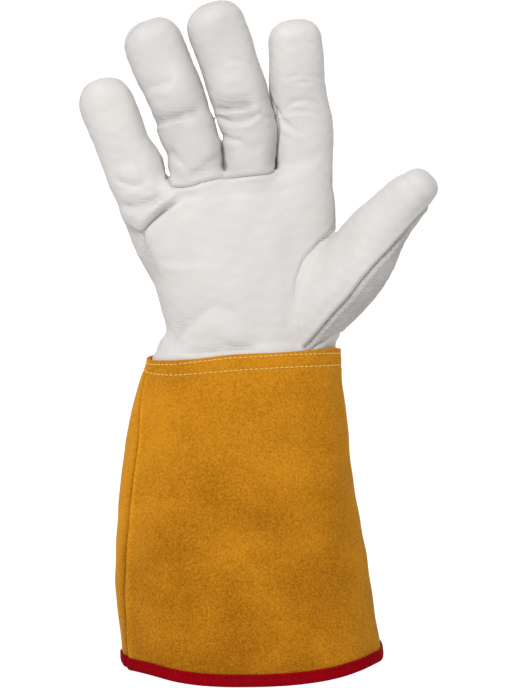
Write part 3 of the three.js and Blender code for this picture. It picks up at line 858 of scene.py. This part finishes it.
# The folds go no deeper and rise no higher than this, and the deeper ones draw the leather together.
DEEPEST, HIGHEST, PINCH_FROM = -3.2, 1.6, 0.6
fold_rows = [dict(zip(FOLDS, values)) for values in zip(*FOLDS.values())]
normals = slope_of(skin_distance, skin)
normals /= np.maximum(np.linalg.norm(normals, axis=1, keepdims=True), 1e-6)
folded = sum(fold_height(skin[:, 0], skin[:, 2], fold) for fold in fold_rows)
facing_front = soft_step(-normals[:, 1], -0.35, 0.35)
folded = np.clip(folded, DEEPEST, HIGHEST) * facing_front
slack = 0.3 * uneven(skin * [0.6, 1, 1.6], 30, 7) * (1 - facing_front)
lift = folded + slack + 0.16 * uneven(skin, 22, 1) + 0.05 * uneven(skin, 6, 2)
print("folds:", len(fold_rows), "from", round(lift.min(), 2), "to", round(lift.max(), 2), "mm")

# %% [markdown]
# ### Seams sink in
# Each seam is sewn inside out, so the two edges turn in and the leather puffs up on both sides. Some seams
# are deep, such as the one along the outside of the thumb, and the curve round the ball of the thumb is
# hardly more than a line.

# %% Grooves along the seams
# Each seam's depth, its half width and how high the leather puffs up beside it.
SEAM_DEPTH = {
    ("thumb_front", "thumb_back"): (1.4, 1.0, 0.45),
    ("thumb_front", "palm"): (0.5, 0.9, 0.15),
    ("thumb_front", "hand_back"): (0.8, 1.0, 0.3),
    ("finger_fronts", "palm"): (0.75, 0.8, 0.25),
    ("finger_fronts", "hand_back"): (0.5, 0.8, 0.2),
    ("palm", "hand_back"): (0.5, 0.8, 0.15),
}
OTHER_DEPTH = (0.7, 0.9, 0.2)
BLOCK = 4000


def nearest_seam(points, seam):
    """For each point the distance to the nearest point of a seam, in blocks so that memory stays small."""
    result = np.empty(len(points))
    squares = (seam * seam).sum(1)
    for start in range(0, len(points), BLOCK):
        block = points[start : start + BLOCK]
        apart = (block * block).sum(1)[:, None] + squares - 2 * block @ seam.T
        result[start : start + BLOCK] = np.sqrt(np.maximum(apart.min(1), 0))
    return result


groove = np.zeros(len(skin))
puff = np.zeros(len(skin))
for pair in np.unique(seam_pairs, axis=0):
    names = tuple(PANELS[number] for number in pair)
    depth, width, ridge = SEAM_DEPTH.get(names, OTHER_DEPTH)
    ends = skin[seam_edges[(seam_pairs == pair).all(1)]]
    line = np.concatenate([ends[:, 0], ends[:, 1], ends.mean(1)])
    away = nearest_seam(skin, line)
    fading = 1.0
    if names == ("thumb_front", "palm"):
        fading = 0.04 + 0.96 * soft_step(skin[:, 2], 190, 214)
    groove = np.maximum(groove, fading * depth * bell(away / width))
    puff = np.maximum(puff, fading * ridge * bell((away - 2.4 * width) / (1.4 * width)))
lift += puff - groove
deep_folds = [fold for fold in fold_rows if fold["depth"] > PINCH_FROM]
pinch = sum(fold_pinch(skin[:, 0], skin[:, 2], fold) for fold in deep_folds)
pinch *= facing_front[:, None]
skin = skin + normals * lift[:, None] + pinch
print("grooves up to", round(groove.max(), 2), "mm deep")

# %% [markdown]
# ## Leather, suede, tape and thread
# The palm is smooth, pale grain leather, matt, with pores finer than a millimetre. The back of the thumb is a
# coarser cut with a pebbled face and darker colours. The cuff is split suede, so its colour is mottled where
# the nap lies one way or the other. The materials are computed from the place on the piece, so nothing
# stretches.


# %% A new material with its shader
def new_material(name, roughness, specular=0.35):
    """A material with a principled shader; gives back the material, its node tree and its shader."""
    made = bpy.data.materials.new(name)
    made.use_nodes = True
    shader = made.node_tree.nodes["Principled BSDF"]
    shader.inputs["Roughness"].default_value = roughness
    shader.inputs["Specular IOR Level"].default_value = specular
    return made, made.node_tree, shader


def pattern(tree, kind, scale, detail=2.0, stretch=(1, 1, 1)):
    """A noise or cell pattern of the object's own place, with its scale in repeats per metre."""
    place = tree.nodes.new("ShaderNodeTexCoord")
    scaled = tree.nodes.new("ShaderNodeMapping")
    scaled.inputs["Scale"].default_value = stretch
    tree.links.new(place.outputs["Object"], scaled.inputs["Vector"])
    texture = tree.nodes.new("ShaderNodeTexVoronoi" if kind == "cells" else "ShaderNodeTexNoise")
    texture.inputs["Scale"].default_value = scale
    if kind == "noise":
        texture.inputs["Detail"].default_value = detail
    tree.links.new(scaled.outputs["Vector"], texture.inputs["Vector"])
    return texture.outputs["Distance" if kind == "cells" else "Fac"]


def kept_number(tree, name):
    """The number that a piece keeps with each of its points under a name."""
    node = tree.nodes.new("ShaderNodeAttribute")
    node.attribute_name = name
    return node.outputs["Fac"]


def mixed(tree, factor, one, two, low=0.3, high=0.7):
    """A colour that goes from one to two as the factor goes from low to high."""
    ramp = tree.nodes.new("ShaderNodeValToRGB")
    for element, position, colour in zip(ramp.color_ramp.elements, (low, high), (one, two)):
        element.position = position
        element.color = (*colour, 1)
    tree.links.new(factor, ramp.inputs["Fac"])
    return ramp.outputs["Color"]


def bumped(tree, shader, heights):
    """Bumps one on the other: each is a pattern, a depth in metres and a strength."""
    before = None
    for height, depth, strength in heights:
        bump = tree.nodes.new("ShaderNodeBump")
        bump.inputs["Distance"].default_value = depth
        bump.inputs["Strength"].default_value = strength
        tree.links.new(height, bump.inputs["Height"])
        if before is not None:
            tree.links.new(before, bump.inputs["Normal"])
        before = bump.outputs["Normal"]
    tree.links.new(before, shader.inputs["Normal"])


# %% Leathers
# The colour of the painted shade, as a share of the dark colour.
PAINTED_SHADE_SHARE = 0.55


def leather(name, pale, dark, grain, depth, roughness):
    """Grain leather: soft clouds of two near colours, with pores of a given size.

    Painted shade darkens its creases, its seams and the flanks where the fingers meet. Where the leather is
    worn, next to its folds, fine wrinkles run across the fingers and the palm.
    """
    made, tree, shader = new_material(name, roughness)
    clouds = mixed(tree, pattern(tree, "noise", 38, 3), dark, pale)
    # Painted shade: the colour goes towards a darker one as the kept number crease grows.
    shade = tree.nodes.new("ShaderNodeMix")
    shade.data_type = "RGBA"
    shade.inputs["B"].default_value = (*(PAINTED_SHADE_SHARE * value for value in dark), 1)
    tree.links.new(kept_number(tree, "crease"), shade.inputs["Factor"])
    tree.links.new(clouds, shade.inputs["A"])
    tree.links.new(shade.outputs["Result"], shader.inputs["Base Color"])
    pores = pattern(tree, "cells", 1 / grain)
    wrinkles = pattern(tree, "noise", 260, 4)
    across = pattern(tree, "noise", 420, 2, (0.3, 1, 1.7))
    lines = computed(tree, "MULTIPLY", across, kept_number(tree, "worn"))
    bumped(tree, shader, [(wrinkles, 0.0004, 0.35), (pores, depth, 0.5), (lines, 0.0009, 0.8)])
    return made


# The name, the pale and the dark colour, the size of the grain and its depth in metres, and the roughness.
FINGER_LEATHER = leather("finger_leather", (0.54, 0.521, 0.504), (0.512, 0.494, 0.478), 0.0009, 0.00012, 0.5)
GRAIN_LEATHER = leather("grain_leather", (0.575, 0.555, 0.536), (0.545, 0.526, 0.508), 0.0009, 0.00012, 0.5)
BACK_LEATHER = leather("back_leather", (0.565, 0.545, 0.527), (0.525, 0.506, 0.489), 0.0011, 0.00016, 0.55)
PEBBLED_LEATHER = leather("pebbled_leather", (0.52, 0.502, 0.486), (0.42, 0.405, 0.392), 0.0012, 0.0014, 0.6)
PANEL_LEATHER = {"thumb_back": PEBBLED_LEATHER, "hand_back": BACK_LEATHER, "finger_fronts": FINGER_LEATHER}
print("leathers:", [material.name for material in bpy.data.materials])

# %% [markdown]
# ### The panels as pieces
# The skin is parted along the seams. Each panel's edge is drawn in by a hair, so that neighbours don't touch,
# and then the leather gets its thickness towards the hand. Two numbers are kept with each point for the
# finish: how much shade is painted there, in creases, seams and where the fingers meet, and how worn it is.

# %% Part the skin into its panels
LEATHER = 1.2
SEAM_HAIR, LEAST_HAIR = 0.1, 0.02


def make_object(name, points, faces, material, sharp=None):
    """An object from points in millimetres and a list of faces; sharp edges are point pairs."""
    mesh = bpy.data.meshes.new(name)
    mesh.from_pydata((points * MM).tolist(), [], faces)
    mesh.shade_smooth()
    if sharp is not None:
        ends = np.empty(2 * len(mesh.edges), int)
        mesh.edges.foreach_get("vertices", ends)
        keys = np.sort(ends.reshape(-1, 2), axis=1) @ [len(points), 1]
        marks = np.isin(keys, np.sort(sharp, axis=1) @ [len(points), 1])
        mesh.attributes.new("sharp_edge", "BOOLEAN", "EDGE").data.foreach_set("value", marks)
    mesh.materials.append(material)
    return add_object(name, mesh)


def keep_numbers(piece, name, values):
    """Keeps a number with each point of a piece, for its material."""
    numbers = piece.data.attributes.new(name, "FLOAT", "POINT")
    numbers.data.foreach_set("value", values.astype(np.float32))


def closed_sheet(points, faces, outward, thickness):
    """Points, faces and sharp edges of a thick sheet: the face, its inside and a strip round the edge."""
    count = len(points)
    starts, stops = faces.ravel(), np.roll(faces, -1, axis=1).ravel()
    alone = ~np.isin(starts * count + stops, stops * count + starts)
    starts, stops = starts[alone], stops[alone]
    strip = np.stack([stops, starts, starts + count, stops + count], axis=1)
    all_points = np.concatenate([points, points - outward * thickness])
    all_faces = np.concatenate([faces, faces[:, ::-1] + count, strip])
    edge = np.stack([starts, stops], axis=1)
    return all_points, all_faces, np.concatenate([edge, edge + count])


# How dark the painted shade is in a groove and a fold for each millimetre of depth, on the fingers' flanks, and
# at its darkest.
GROOVE_SHADE, FOLD_SHADE, PAINTED_FLANK_SHADE, DARKEST = 0.16, 0.18, 0.24, 0.8
on_border = np.zeros(len(skin), bool)
on_border[seam_points] = True
worn = np.clip(0.8 * np.abs(folded) - 0.1, 0, 1)
# Painted shade on the right flanks of the ring and middle fingers, where each meets the next finger.
along_fingers = soft_step(skin[:, 2], 258, 268) * (1 - soft_step(skin[:, 2], 308, 326))
between_fingers = soft_step(skin[:, 0], -48, -42) * (1 - soft_step(skin[:, 0], 15, 17))
painted_flank_shade = soft_step(normals[:, 0], 0.15, 0.85) * along_fingers * between_fingers
# Painted shade: darker in the seams' grooves and in the folds' valleys, the deeper the darker.
creased = np.clip(-folded - 0.4, 0, 2.5)
crease_shade = GROOVE_SHADE * groove + FOLD_SHADE * creased + PAINTED_FLANK_SHADE * painted_flank_shade
crease_shade = np.clip(crease_shade, 0, DARKEST)
face_counts = {}
for number, name in enumerate(PANELS):
    own = skin_faces[face_panel == number]
    used, local = np.unique(own, return_inverse=True)
    local = local.reshape(own.shape)
    points = skin[used]
    own_edges, _ = mesh_edges(local)
    border = np.flatnonzero(on_border[used])
    inward = spread(points, own_edges, 1.0, border)[border] - points[border]
    outward = normals[used][border]
    inward -= outward * (inward * outward).sum(1, keepdims=True)
    size = np.linalg.norm(inward, axis=1, keepdims=True)
    hair = SEAM_HAIR * np.minimum(groove[used][border], 1)[:, None] + LEAST_HAIR
    points[border] += hair * inward / np.maximum(size, 0.3)
    points, faces, sharp = closed_sheet(points, local, normals[used], LEATHER)
    finish = PANEL_LEATHER.get(name, GRAIN_LEATHER)
    piece = make_object(name + "_leather", points, faces.tolist(), finish, sharp)
    # The painted shade is kept as the number crease.
    keep_numbers(piece, "crease", np.tile(crease_shade[used], 2))
    keep_numbers(piece, "worn", np.tile(worn[used], 2))
    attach(piece, "root")
    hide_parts(name)
    face_counts[name] = len(faces)
print("panels:", face_counts)

# %% [markdown]
# ## The cuff
# The cuff is one panel of split suede, folded round and closed by a seam on the little finger's side. Its
# front edge is turned over the back one there. It is a closed profile, outer face, top edge, inner face and
# lower edge, carried round a flattened ring whose width and depth change with the height.

# %% Sections and edges of the cuff
CUFF = table(
    ["z", "x", "half", "deep"],
    [0, 0.5, 67.7, 50.0],
    [16, 0.0, 67.8, 49.5],
    [28.5, -2.1, 66.9, 48.0],
    [47, -4.7, 65.9, 46.0],
    [66, -6.0, 64.6, 43.6],
    [84.5, -6.8, 62.8, 41.0],
    [103, -7.6, 60.5, 38.0],
    [122, -7.4, 58.7, 34.8],
    [140.5, -6.6, 55.8, 31.0],
    [153, -5.8, 53.2, 27.6],
    [162, -4.2, 50.5, 25.8],
    [175, -4.0, 50.0, 25.8],
)
CUFF_SQUARE = 2.3
SUEDE = 1.7
# The cuff's mean radius, its half sizes at the hem, and how much more than a circle's its directions turn to
# the front and back.
CUFF_RADIUS, HEM_HALF, HEM_DEEP, FLATNESS = 52, 67, 45, 1.3
# Angles are in degrees from +X towards the back: 180 is the little finger's side and 270 the front.
TOP_EDGE = {
    "angle": [-19, 0, 60, 90, 140, 180, 195, 206, 228, 247, 266, 288, 310, 341, 360],
    "z": [
        170.3, 169.5, 169.0, 168.5, 167.4, 165.2, 163.9, 163.6,
        163.6, 164.5, 166.9, 167.6, 169.0, 170.3, 169.5,
    ],
}
SIDE_SEAM = {"z": [0, 15, 42, 72, 124, 155, 170], "angle": [199, 199, 204, 207, 210, 200, 197]}
# Two rows of stitches run round the cuff below its top edge.
STITCH_ROWS = {
    "upper": {
        "angle": [-19, 60, 140, 180, 195, 228, 247, 266, 288, 310, 341, 360],
        "z": [167.2, 166, 164.8, 162.8, 161.5, 161.3, 163.0, 165.0, 166.3, 166.9, 167.3, 167.0],
    },
    "lower": {
        "angle": [-19, 60, 140, 180, 195, 210, 232, 257, 276, 298, 341, 360],
        "z": [161.2, 160.4, 160.0, 159.4, 158.0, 156.6, 155.9, 157.6, 159.3, 160.3, 161.2, 161.0],
    },
}


def smooth_read(value, known, wanted):
    """Reads a table with its corners rounded: the mean of readings a little either side."""
    span = (known[-1] - known[0]) * 0.02
    return sum(np.interp(value + shift * span, known, wanted) for shift in (-1, -0.5, 0, 0.5, 1)) / 5


def height_round(angle, line):
    """The height of a line that runs round the cuff, at an angle."""
    return smooth_read(np.degrees(angle) % 360, line["angle"], line["z"])


def hem_height(angle):
    """Height of the hem's lowest edge round the cuff: it dips at the front and rises on the thumb's side."""
    waves = 2.5 * np.cos(angle) + 3 * np.sin(angle) + 3 * np.cos(2 * angle) + 0.7 * np.sin(2 * angle)
    degrees = np.degrees(angle) % 360
    bumps = 1.2 * bell((degrees - 222) / 16) + 0.9 * bell((degrees - 184) / 10)
    return 6 + waves + bumps - 1.2 * bell(np.sin((angle + 0.14) / 2) / 0.12)


def cuff_place(angle, z):
    """Points on the cuff's plain face, without its relief, at angles and heights in millimetres."""
    x, half, deep = [smooth_read(z, CUFF["z"], CUFF[name]) for name in ("x", "half", "deep")]
    c, s = np.cos(angle), np.sin(angle)
    power = 2 / CUFF_SQUARE
    across = x + half * np.sign(c) * np.abs(c) ** power
    return np.stack([across, deep * np.sign(s) * np.abs(s) ** power, z + 0 * c], axis=-1)


def cuff_outward(angle):
    """The outward directions of the cuff at some angles."""
    return unit(np.stack([np.cos(angle), FLATNESS * np.sin(angle), 0 * angle], axis=-1))


def beside_seam(angle, z):
    """How far round the cuff from its side seam, more towards the front, and the seam's strength."""
    seam = np.radians(smooth_read(z, SIDE_SEAM["z"], SIDE_SEAM["angle"]))
    return (angle - seam) * CUFF_RADIUS, soft_step(-z, -165, -154)


def seam_width(z):
    """How much wider the side seam is than at the top: it spreads towards the hem."""
    return 1 + 0.9 * soft_step(-z, -110, -30)


def cuff_relief(angle, z):
    """How far the cuff's face stands out: its side seam, the slow waves of the suede and its stitch rows."""
    beside, fade = beside_seam(angle, z)
    wide = seam_width(z)
    folded_edge = 1.0 * bell(beside / wide / 1.5 - 1.3) - 1.9 * bell(beside / wide / 0.8 + 0.4)
    back_part = 0.5 * soft_step(-beside, 1.0, 7.0) * soft_step(beside, -40, -8) * soft_step(-z, -120, -90)
    back_part = back_part - 0.7 * soft_step(z, 100, 120) * soft_step(-z, -166, -150)
    place = np.stack([HEM_HALF * np.cos(angle), HEM_DEEP * np.sin(angle), z], axis=-1)
    shape = place.shape[:-1]
    waves = uneven(place.reshape(-1, 3), 60, 5).reshape(shape) * 0.4 - 0.35
    waves += uneven(place.reshape(-1, 3), 17, 6).reshape(shape) * 0.12
    calm = 0.25 + 0.75 * soft_step(-z, -165, -150)
    rows = sum(bell((z - height_round(angle, line)) / 0.9) for line in STITCH_ROWS.values())
    return (folded_edge + back_part) * fade + waves * calm - 0.35 * rows


def on_cuff(angle, z, out):
    """Points on the cuff's real face, with its relief, or out from it."""
    return cuff_place(angle, z) + cuff_outward(angle) * (cuff_relief(angle, z) + out)[..., None]


print("rows of stitches on the cuff:", list(STITCH_ROWS))


# %% A closed profile carried round
def round_faces(rings, around):
    """Faces of a closed profile carried round a closed path: each row joins the next, the last the first."""
    r, a = np.meshgrid(np.arange(rings), np.arange(around), indexing="ij")
    r2, a2 = (r + 1) % rings, (a + 1) % around
    corners = [r * around + a, r * around + a2, r2 * around + a2, r2 * around + a]
    return np.stack(corners, axis=-1).reshape(-1, 4)


AROUND = 320
UPRIGHT = 130
# The columns crowd together near the side seam, and lean with it.
even = full_turn(AROUND)
SEAM_MIDDLE = math.radians(205)
even = even - 0.075 * np.tanh((even - SEAM_MIDDLE) / 0.12) * bell((even - SEAM_MIDDLE) / 0.5)
rise = np.linspace(0, 1, UPRIGHT)[:, None]
lean = np.radians(np.interp(165 * rise, SIDE_SEAM["z"], SIDE_SEAM["angle"])) - SEAM_MIDDLE
angle = even + lean * bell((even - SEAM_MIDDLE) / 0.5)
HEM_COVER, EDGE_RISE = 1.2, 0.4
low, high = hem_height(angle) + HEM_COVER, height_round(angle, TOP_EDGE)
outer_z = low + (high - low - EDGE_RISE) * rise
outer = on_cuff(angle, outer_z, 0.0)
across = cuff_outward(angle)
# Over the top edge, down the inner face and round the lower edge.
edge_turn = np.linspace(0, math.pi, 7)[1:-1, None]
rim = outer[-1] - across[-1] * (SUEDE / 2 * (1 - np.cos(edge_turn)))[..., None]
rim[..., 2] += EDGE_RISE * np.sin(edge_turn)
inner = (outer - across * SUEDE)[::-2]
cuff_rings = np.concatenate([outer, rim, inner])
# Painted shadow darkens the seam's groove and a painted highlight lightens the folded edge; behind the seam the
# suede's own colour is a little lighter.
beside, strength = beside_seam(angle, outer_z)
behind_seam = soft_step(-beside, 0, 4) * soft_step(beside, -60, -20)
beside = beside / seam_width(outer_z)
shadow = 0.5 * bell((beside + 0.3) / 0.8) + 0.16 * bell((beside + 2.2) / 2.4)
cuff_shade_and_tone = np.ones(cuff_rings.shape[:2])
cuff_shade_and_tone[: len(outer)] = 1 + strength * (0.25 * bell((beside - 2.2) / 1.5) - shadow) + 0.16 * behind_seam
cuff_faces = round_faces(len(cuff_rings), AROUND)
print("cuff:", len(cuff_faces), "faces, top edge", round(high.min(), 1), "to", round(high.max(), 1), "mm")


# %% Suede, tape and thread
def suede(name, low_colour, high_colour):
    """Napped suede: specks a millimetre wide on slow clouds, lighter higher up and at grazing angles."""
    made, tree, shader = new_material(name, 0.95, 0.03)
    specks = pattern(tree, "noise", 950, 3)
    place = tree.nodes.new("ShaderNodeTexCoord")
    parted = tree.nodes.new("ShaderNodeSeparateXYZ")
    tree.links.new(place.outputs["Object"], parted.inputs["Vector"])
    factor = specks
    for value, share in ((pattern(tree, "noise", 30, 3), 0.75), (parted.outputs["Z"], 1.7)):
        factor = computed(tree, "MULTIPLY_ADD", value, share, factor)
    factor = computed(tree, "MULTIPLY", factor, 0.5)
    # The colour is scaled by the kept number tone: painted shadow in the side seam's groove, a painted
    # highlight on its folded edge.
    toned = tree.nodes.new("ShaderNodeVectorMath")
    toned.operation = "SCALE"
    tree.links.new(mixed(tree, factor, low_colour, high_colour, 0.38, 0.64), toned.inputs["Vector"])
    tree.links.new(kept_number(tree, "tone"), toned.inputs["Scale"])
    tree.links.new(toned.outputs["Vector"], shader.inputs["Base Color"])
    shader.inputs["Sheen Weight"].default_value = 0.35
    shader.inputs["Sheen Roughness"].default_value = 0.6
    shader.inputs["Sheen Tint"].default_value = (0.9, 0.5, 0.08, 1)
    nap = pattern(tree, "noise", 1300, 2)
    bumped(tree, shader, [(specks, 0.0006, 0.6), (nap, 0.0003, 0.6)])
    return made


def thread(name, colour):
    """Sewing thread: one colour, with a fine twist."""
    made, tree, shader = new_material(name, 0.6, 0.1)
    shader.inputs["Base Color"].default_value = (*colour, 1)
    bumped(tree, shader, [(pattern(tree, "noise", 2500, 1), 0.0001, 0.5)])
    return made


def woven_tape(name, low_colour, high_colour):
    """Woven tape: its threads show as two near colours and stand out a little."""
    made, tree, shader = new_material(name, 0.8, 0.02)
    weave = pattern(tree, "noise", 1600, 2)
    tree.links.new(mixed(tree, weave, low_colour, high_colour), shader.inputs["Base Color"])
    bumped(tree, shader, [(weave, 0.0004, 0.5)])
    return made


SUEDE_FINISH = suede("suede", (0.26, 0.088, 0.002), (0.515, 0.206, 0.01))
TAPE_FINISH = woven_tape("binding_tape", (0.15, 0.0003, 0.002), (0.34, 0.0012, 0.007))
CREAM_THREAD = thread("cream_thread", (0.72, 0.48, 0.15))
RED_THREAD = thread("dark_red_thread", (0.09, 0.002, 0.005))
OCHRE_THREAD = thread("ochre_thread", (0.2, 0.07, 0.008))
WHITE_THREAD = thread("white_thread", (0.62, 0.6, 0.57))
GREY_THREAD = thread("grey_thread", (0.32, 0.3, 0.28))

cuff = make_object("cuff_suede", cuff_rings.reshape(-1, 3), cuff_faces.tolist(), SUEDE_FINISH)
# The number tone holds the side seam's painted shadow and highlight, and the lighter suede behind it.
keep_numbers(cuff, "tone", cuff_shade_and_tone.ravel())
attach(cuff, "root")
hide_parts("cuff")
print("materials:", len(bpy.data.materials))

# %% [markdown]
# ## The hem binding
# A woven tape is folded over the cuff's lower edge, so its section is a narrow U, and it is sewn through near
# its upper edge. The section is carried round the hem in the same way as the cuff's.

# %% The binding's section, carried round the hem
TAPE_SECTION = table(
    ["out", "up"],
    [0.15, 6.3],
    [0.6, 6.5],
    [1.0, 6.1],
    [1.1, 5.3],
    [0.85, 4.7],
    [1.15, 4.0],
    [1.25, 2.6],
    [1.15, 1.2],
    [0.8, 0.4],
    [0.1, 0.05],
    [-0.9, -0.05],
    [-1.8, 0.05],
    [-2.5, 0.4],
    [-2.8, 1.4],
    [-2.85, 3.4],
    [-2.75, 5.6],
    [-2.4, 6.0],
    [-2.0, 5.8],
    [-1.95, 3.5],
    [-1.9, 1.0],
    [-0.9, 0.9],
    [0.12, 1.0],
    [0.12, 3.5],
)
TAPE_AROUND = 420
# The stitches pull the tape in, so that its face ripples near their height.
RIPPLE, RIPPLES, RIPPLE_HEIGHT = 0.12, 150, 4.8
tape_angle = full_turn(TAPE_AROUND)
tape_out, tape_up = TAPE_SECTION["out"][:, None], TAPE_SECTION["up"][:, None]
tape_z = hem_height(tape_angle) + tape_up
ripple = RIPPLE * np.sin(tape_angle * RIPPLES) * bell((tape_up - RIPPLE_HEIGHT) / 1.2)
tape_rings = on_cuff(tape_angle + 0 * tape_z, tape_z, tape_out + ripple * (tape_out > 0.5))
tape_faces = round_faces(len(tape_rings), TAPE_AROUND)[:, ::-1]
tape = make_object("hem_tape", tape_rings.reshape(-1, 3), tape_faces.tolist(), TAPE_FINISH)
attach(tape, "root")
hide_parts("hem_binding")
print("tape:", len(tape_faces), "faces")

# %% [markdown]
# ## Stitches
# Each stitch is a short capsule of thread that dips into the leather at both ends. A row of them is laid
# along a path at an even pitch, and a whole row is one piece.


# %% Capsules along a path
# A capsule is six rings of six points. Each ring lies at a share of the half length. Its radius and its
# height above the surface are shares of the thread's radius.
RING_SHARES = np.array([-1.0, -0.8, -0.35, 0.35, 0.8, 1.0])
RING_RADII = np.array([0.35, 0.85, 1.0, 1.0, 0.85, 0.35])
RING_HEIGHTS = np.array([-0.9, -0.1, 0.35, 0.35, -0.1, -0.9])
SIDES = 6


def stitches(name, path, outward, pitch, length, radius, material, closed=False):
    """A row of stitches along a path: each is a capsule, thickest in its middle, with its ends let in."""
    if closed:
        path, outward = np.concatenate([path, path[:1]]), np.concatenate([outward, outward[:1]])
    reach = np.concatenate([[0], np.cumsum(np.linalg.norm(np.diff(path, axis=0), axis=1))])
    count = max(1, int(reach[-1] / pitch))
    middles = (np.arange(count) + 0.5) * reach[-1] / count
    middle = read_rows(middles, reach, path)
    ahead = unit(read_rows(middles + 0.3, reach, path) - read_rows(middles - 0.3, reach, path))
    out = read_rows(middles, reach, outward)
    out = unit(out - ahead * (out * ahead).sum(1, keepdims=True))
    side = np.cross(ahead, out)
    thick, height = radius * RING_RADII, radius * RING_HEIGHTS
    turn = full_turn(SIDES)
    place = middle[:, None, None] + ahead[:, None, None] * (RING_SHARES * length / 2)[:, None, None]
    place = place + out[:, None, None] * (height[:, None] + thick[:, None] * np.cos(turn))[..., None]
    place = place + side[:, None, None] * (thick[:, None] * np.sin(turn))[..., None]
    row, column = np.meshgrid(np.arange(len(thick) - 1), np.arange(SIDES), indexing="ij")
    here, beside = row * SIDES + column, row * SIDES + (column + 1) % SIDES
    sides = np.stack([here, beside, beside + SIDES, here + SIDES], axis=-1)
    last = SIDES * len(thick)
    offsets = np.arange(count)[:, None] * last
    quads = (sides.reshape(1, -1, 4) + offsets[..., None]).reshape(-1, 4).tolist()
    caps = (np.arange(SIDES)[::-1] + offsets).tolist() + (np.arange(last - SIDES, last) + offsets).tolist()
    made = make_object(name, place.reshape(-1, 3), quads + caps, material)
    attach(made, "root")
    print(name, count, "stitches")


# %% The rows on the cuff and the binding
# The pitch of the rows round the cuff, and how high above the hem's edge the binding is sewn.
ROUND_PITCH, BINDING_ROW = 2.6, 4.75
ring_angle = full_turn(720)
ring_out = cuff_outward(ring_angle)
for row, line in STITCH_ROWS.items():
    path = on_cuff(ring_angle, height_round(ring_angle, line), 0.12)
    stitches(f"cuff_stitches_{row}", path, ring_out, ROUND_PITCH, 2.0, 0.31, CREAM_THREAD, closed=True)
path = on_cuff(ring_angle, hem_height(ring_angle) + BINDING_ROW, 0.82)
stitches("binding_stitches", path, ring_out, ROUND_PITCH, 1.7, 0.25, RED_THREAD, closed=True)
SEAM_SPAN = (10, 146)
seam_z = np.linspace(*SEAM_SPAN, 300)
seam_angle = np.radians(np.interp(seam_z, SIDE_SEAM["z"], SIDE_SEAM["angle"])) - 0.012
path = on_cuff(seam_angle, seam_z, 0.1)
stitches("side_seam_stitches", path, np.tile([-0.9, -0.4, 0], (300, 1)), 3.2, 2.0, 0.25, OCHRE_THREAD)

# %% [markdown]
# ### Stitches on the hand
# The panels were sewn inside out, but the thread shows over three fingertips, along the base of the two
# middle fingers and at the thumb's crotch. Each path is laid onto the skin.


# %% Paths on the skin
def places_and_normals(hits):
    """The places and the outward directions of hits on the skin."""
    return np.array([hit[0] for hit in hits]), np.array([hit[1] for hit in hits])


def onto_skin(points):
    """The nearest places of the skin to some points, and the outward directions there."""
    return places_and_normals([skin_tree.find_nearest(point) for point in points.tolist()])


def from_the_front(x, z):
    """The first places of the skin behind some points of the front view, and the outward directions there."""
    starts = np.stack([x, x * 0 - 200, z], axis=1).tolist()
    return places_and_normals([skin_tree.ray_cast(start, (0, 1, 0)) for start in starts])


def tip_seam(name, start, end):
    """The seam over a fingertip as a path: its points are sorted by their angle round the tip, in degrees."""
    middle = AXES[name][-1, :3]
    away = skin[seam_points] - middle
    angle = np.degrees(np.arctan2(away[:, 2], away[:, 0])) % 360
    near = (np.hypot(away[:, 0], away[:, 2]) < DOMES[name] + 5) & (angle > start - 4) & (angle < end + 4)
    order = np.argsort(angle[near])
    angle, line = angle[near][order], skin[seam_points][near][order]
    at = np.linspace(start, end, 60)
    weight = bell((at[:, None] - angle) / 3.5)
    return weight @ line / weight.sum(1, keepdims=True)


# Where the seams over the tips begin and end, in degrees, and the lines of the other two rows.
TIP_SEAMS = {"little": (95, 165), "ring": (75, 165), "middle": (70, 135)}
BASE_X, BASE_ABOVE = (-40, 11), 1.3
CROTCH_X, CROTCH_Z = (35.0, 40.8), (225.4, 230.4)
skin_tree = BVHTree.FromPolygons(skin.tolist(), skin_faces.tolist())
for name, (start, end) in TIP_SEAMS.items():
    path, outward = onto_skin(tip_seam(name, start, end) + [0, -1.0, 0])
    stitches(f"{name}_tip_stitches", path + 0.05 * outward, outward, 1.6, 0.9, 0.15, GREY_THREAD)
base_x = np.linspace(*BASE_X, 120)
path, outward = from_the_front(base_x, on_line(base_x, FINGER_BASE, "x", "z") + BASE_ABOVE)
stitches("finger_base_stitches", path + 0.02 * outward, outward, 1.9, 1.2, 0.14, WHITE_THREAD)
path, outward = from_the_front(np.linspace(*CROTCH_X, 20), np.linspace(*CROTCH_Z, 20))
stitches("thumb_crotch_stitches", path + 0.1 * outward, outward, 2.1, 1.6, 0.3, WHITE_THREAD)
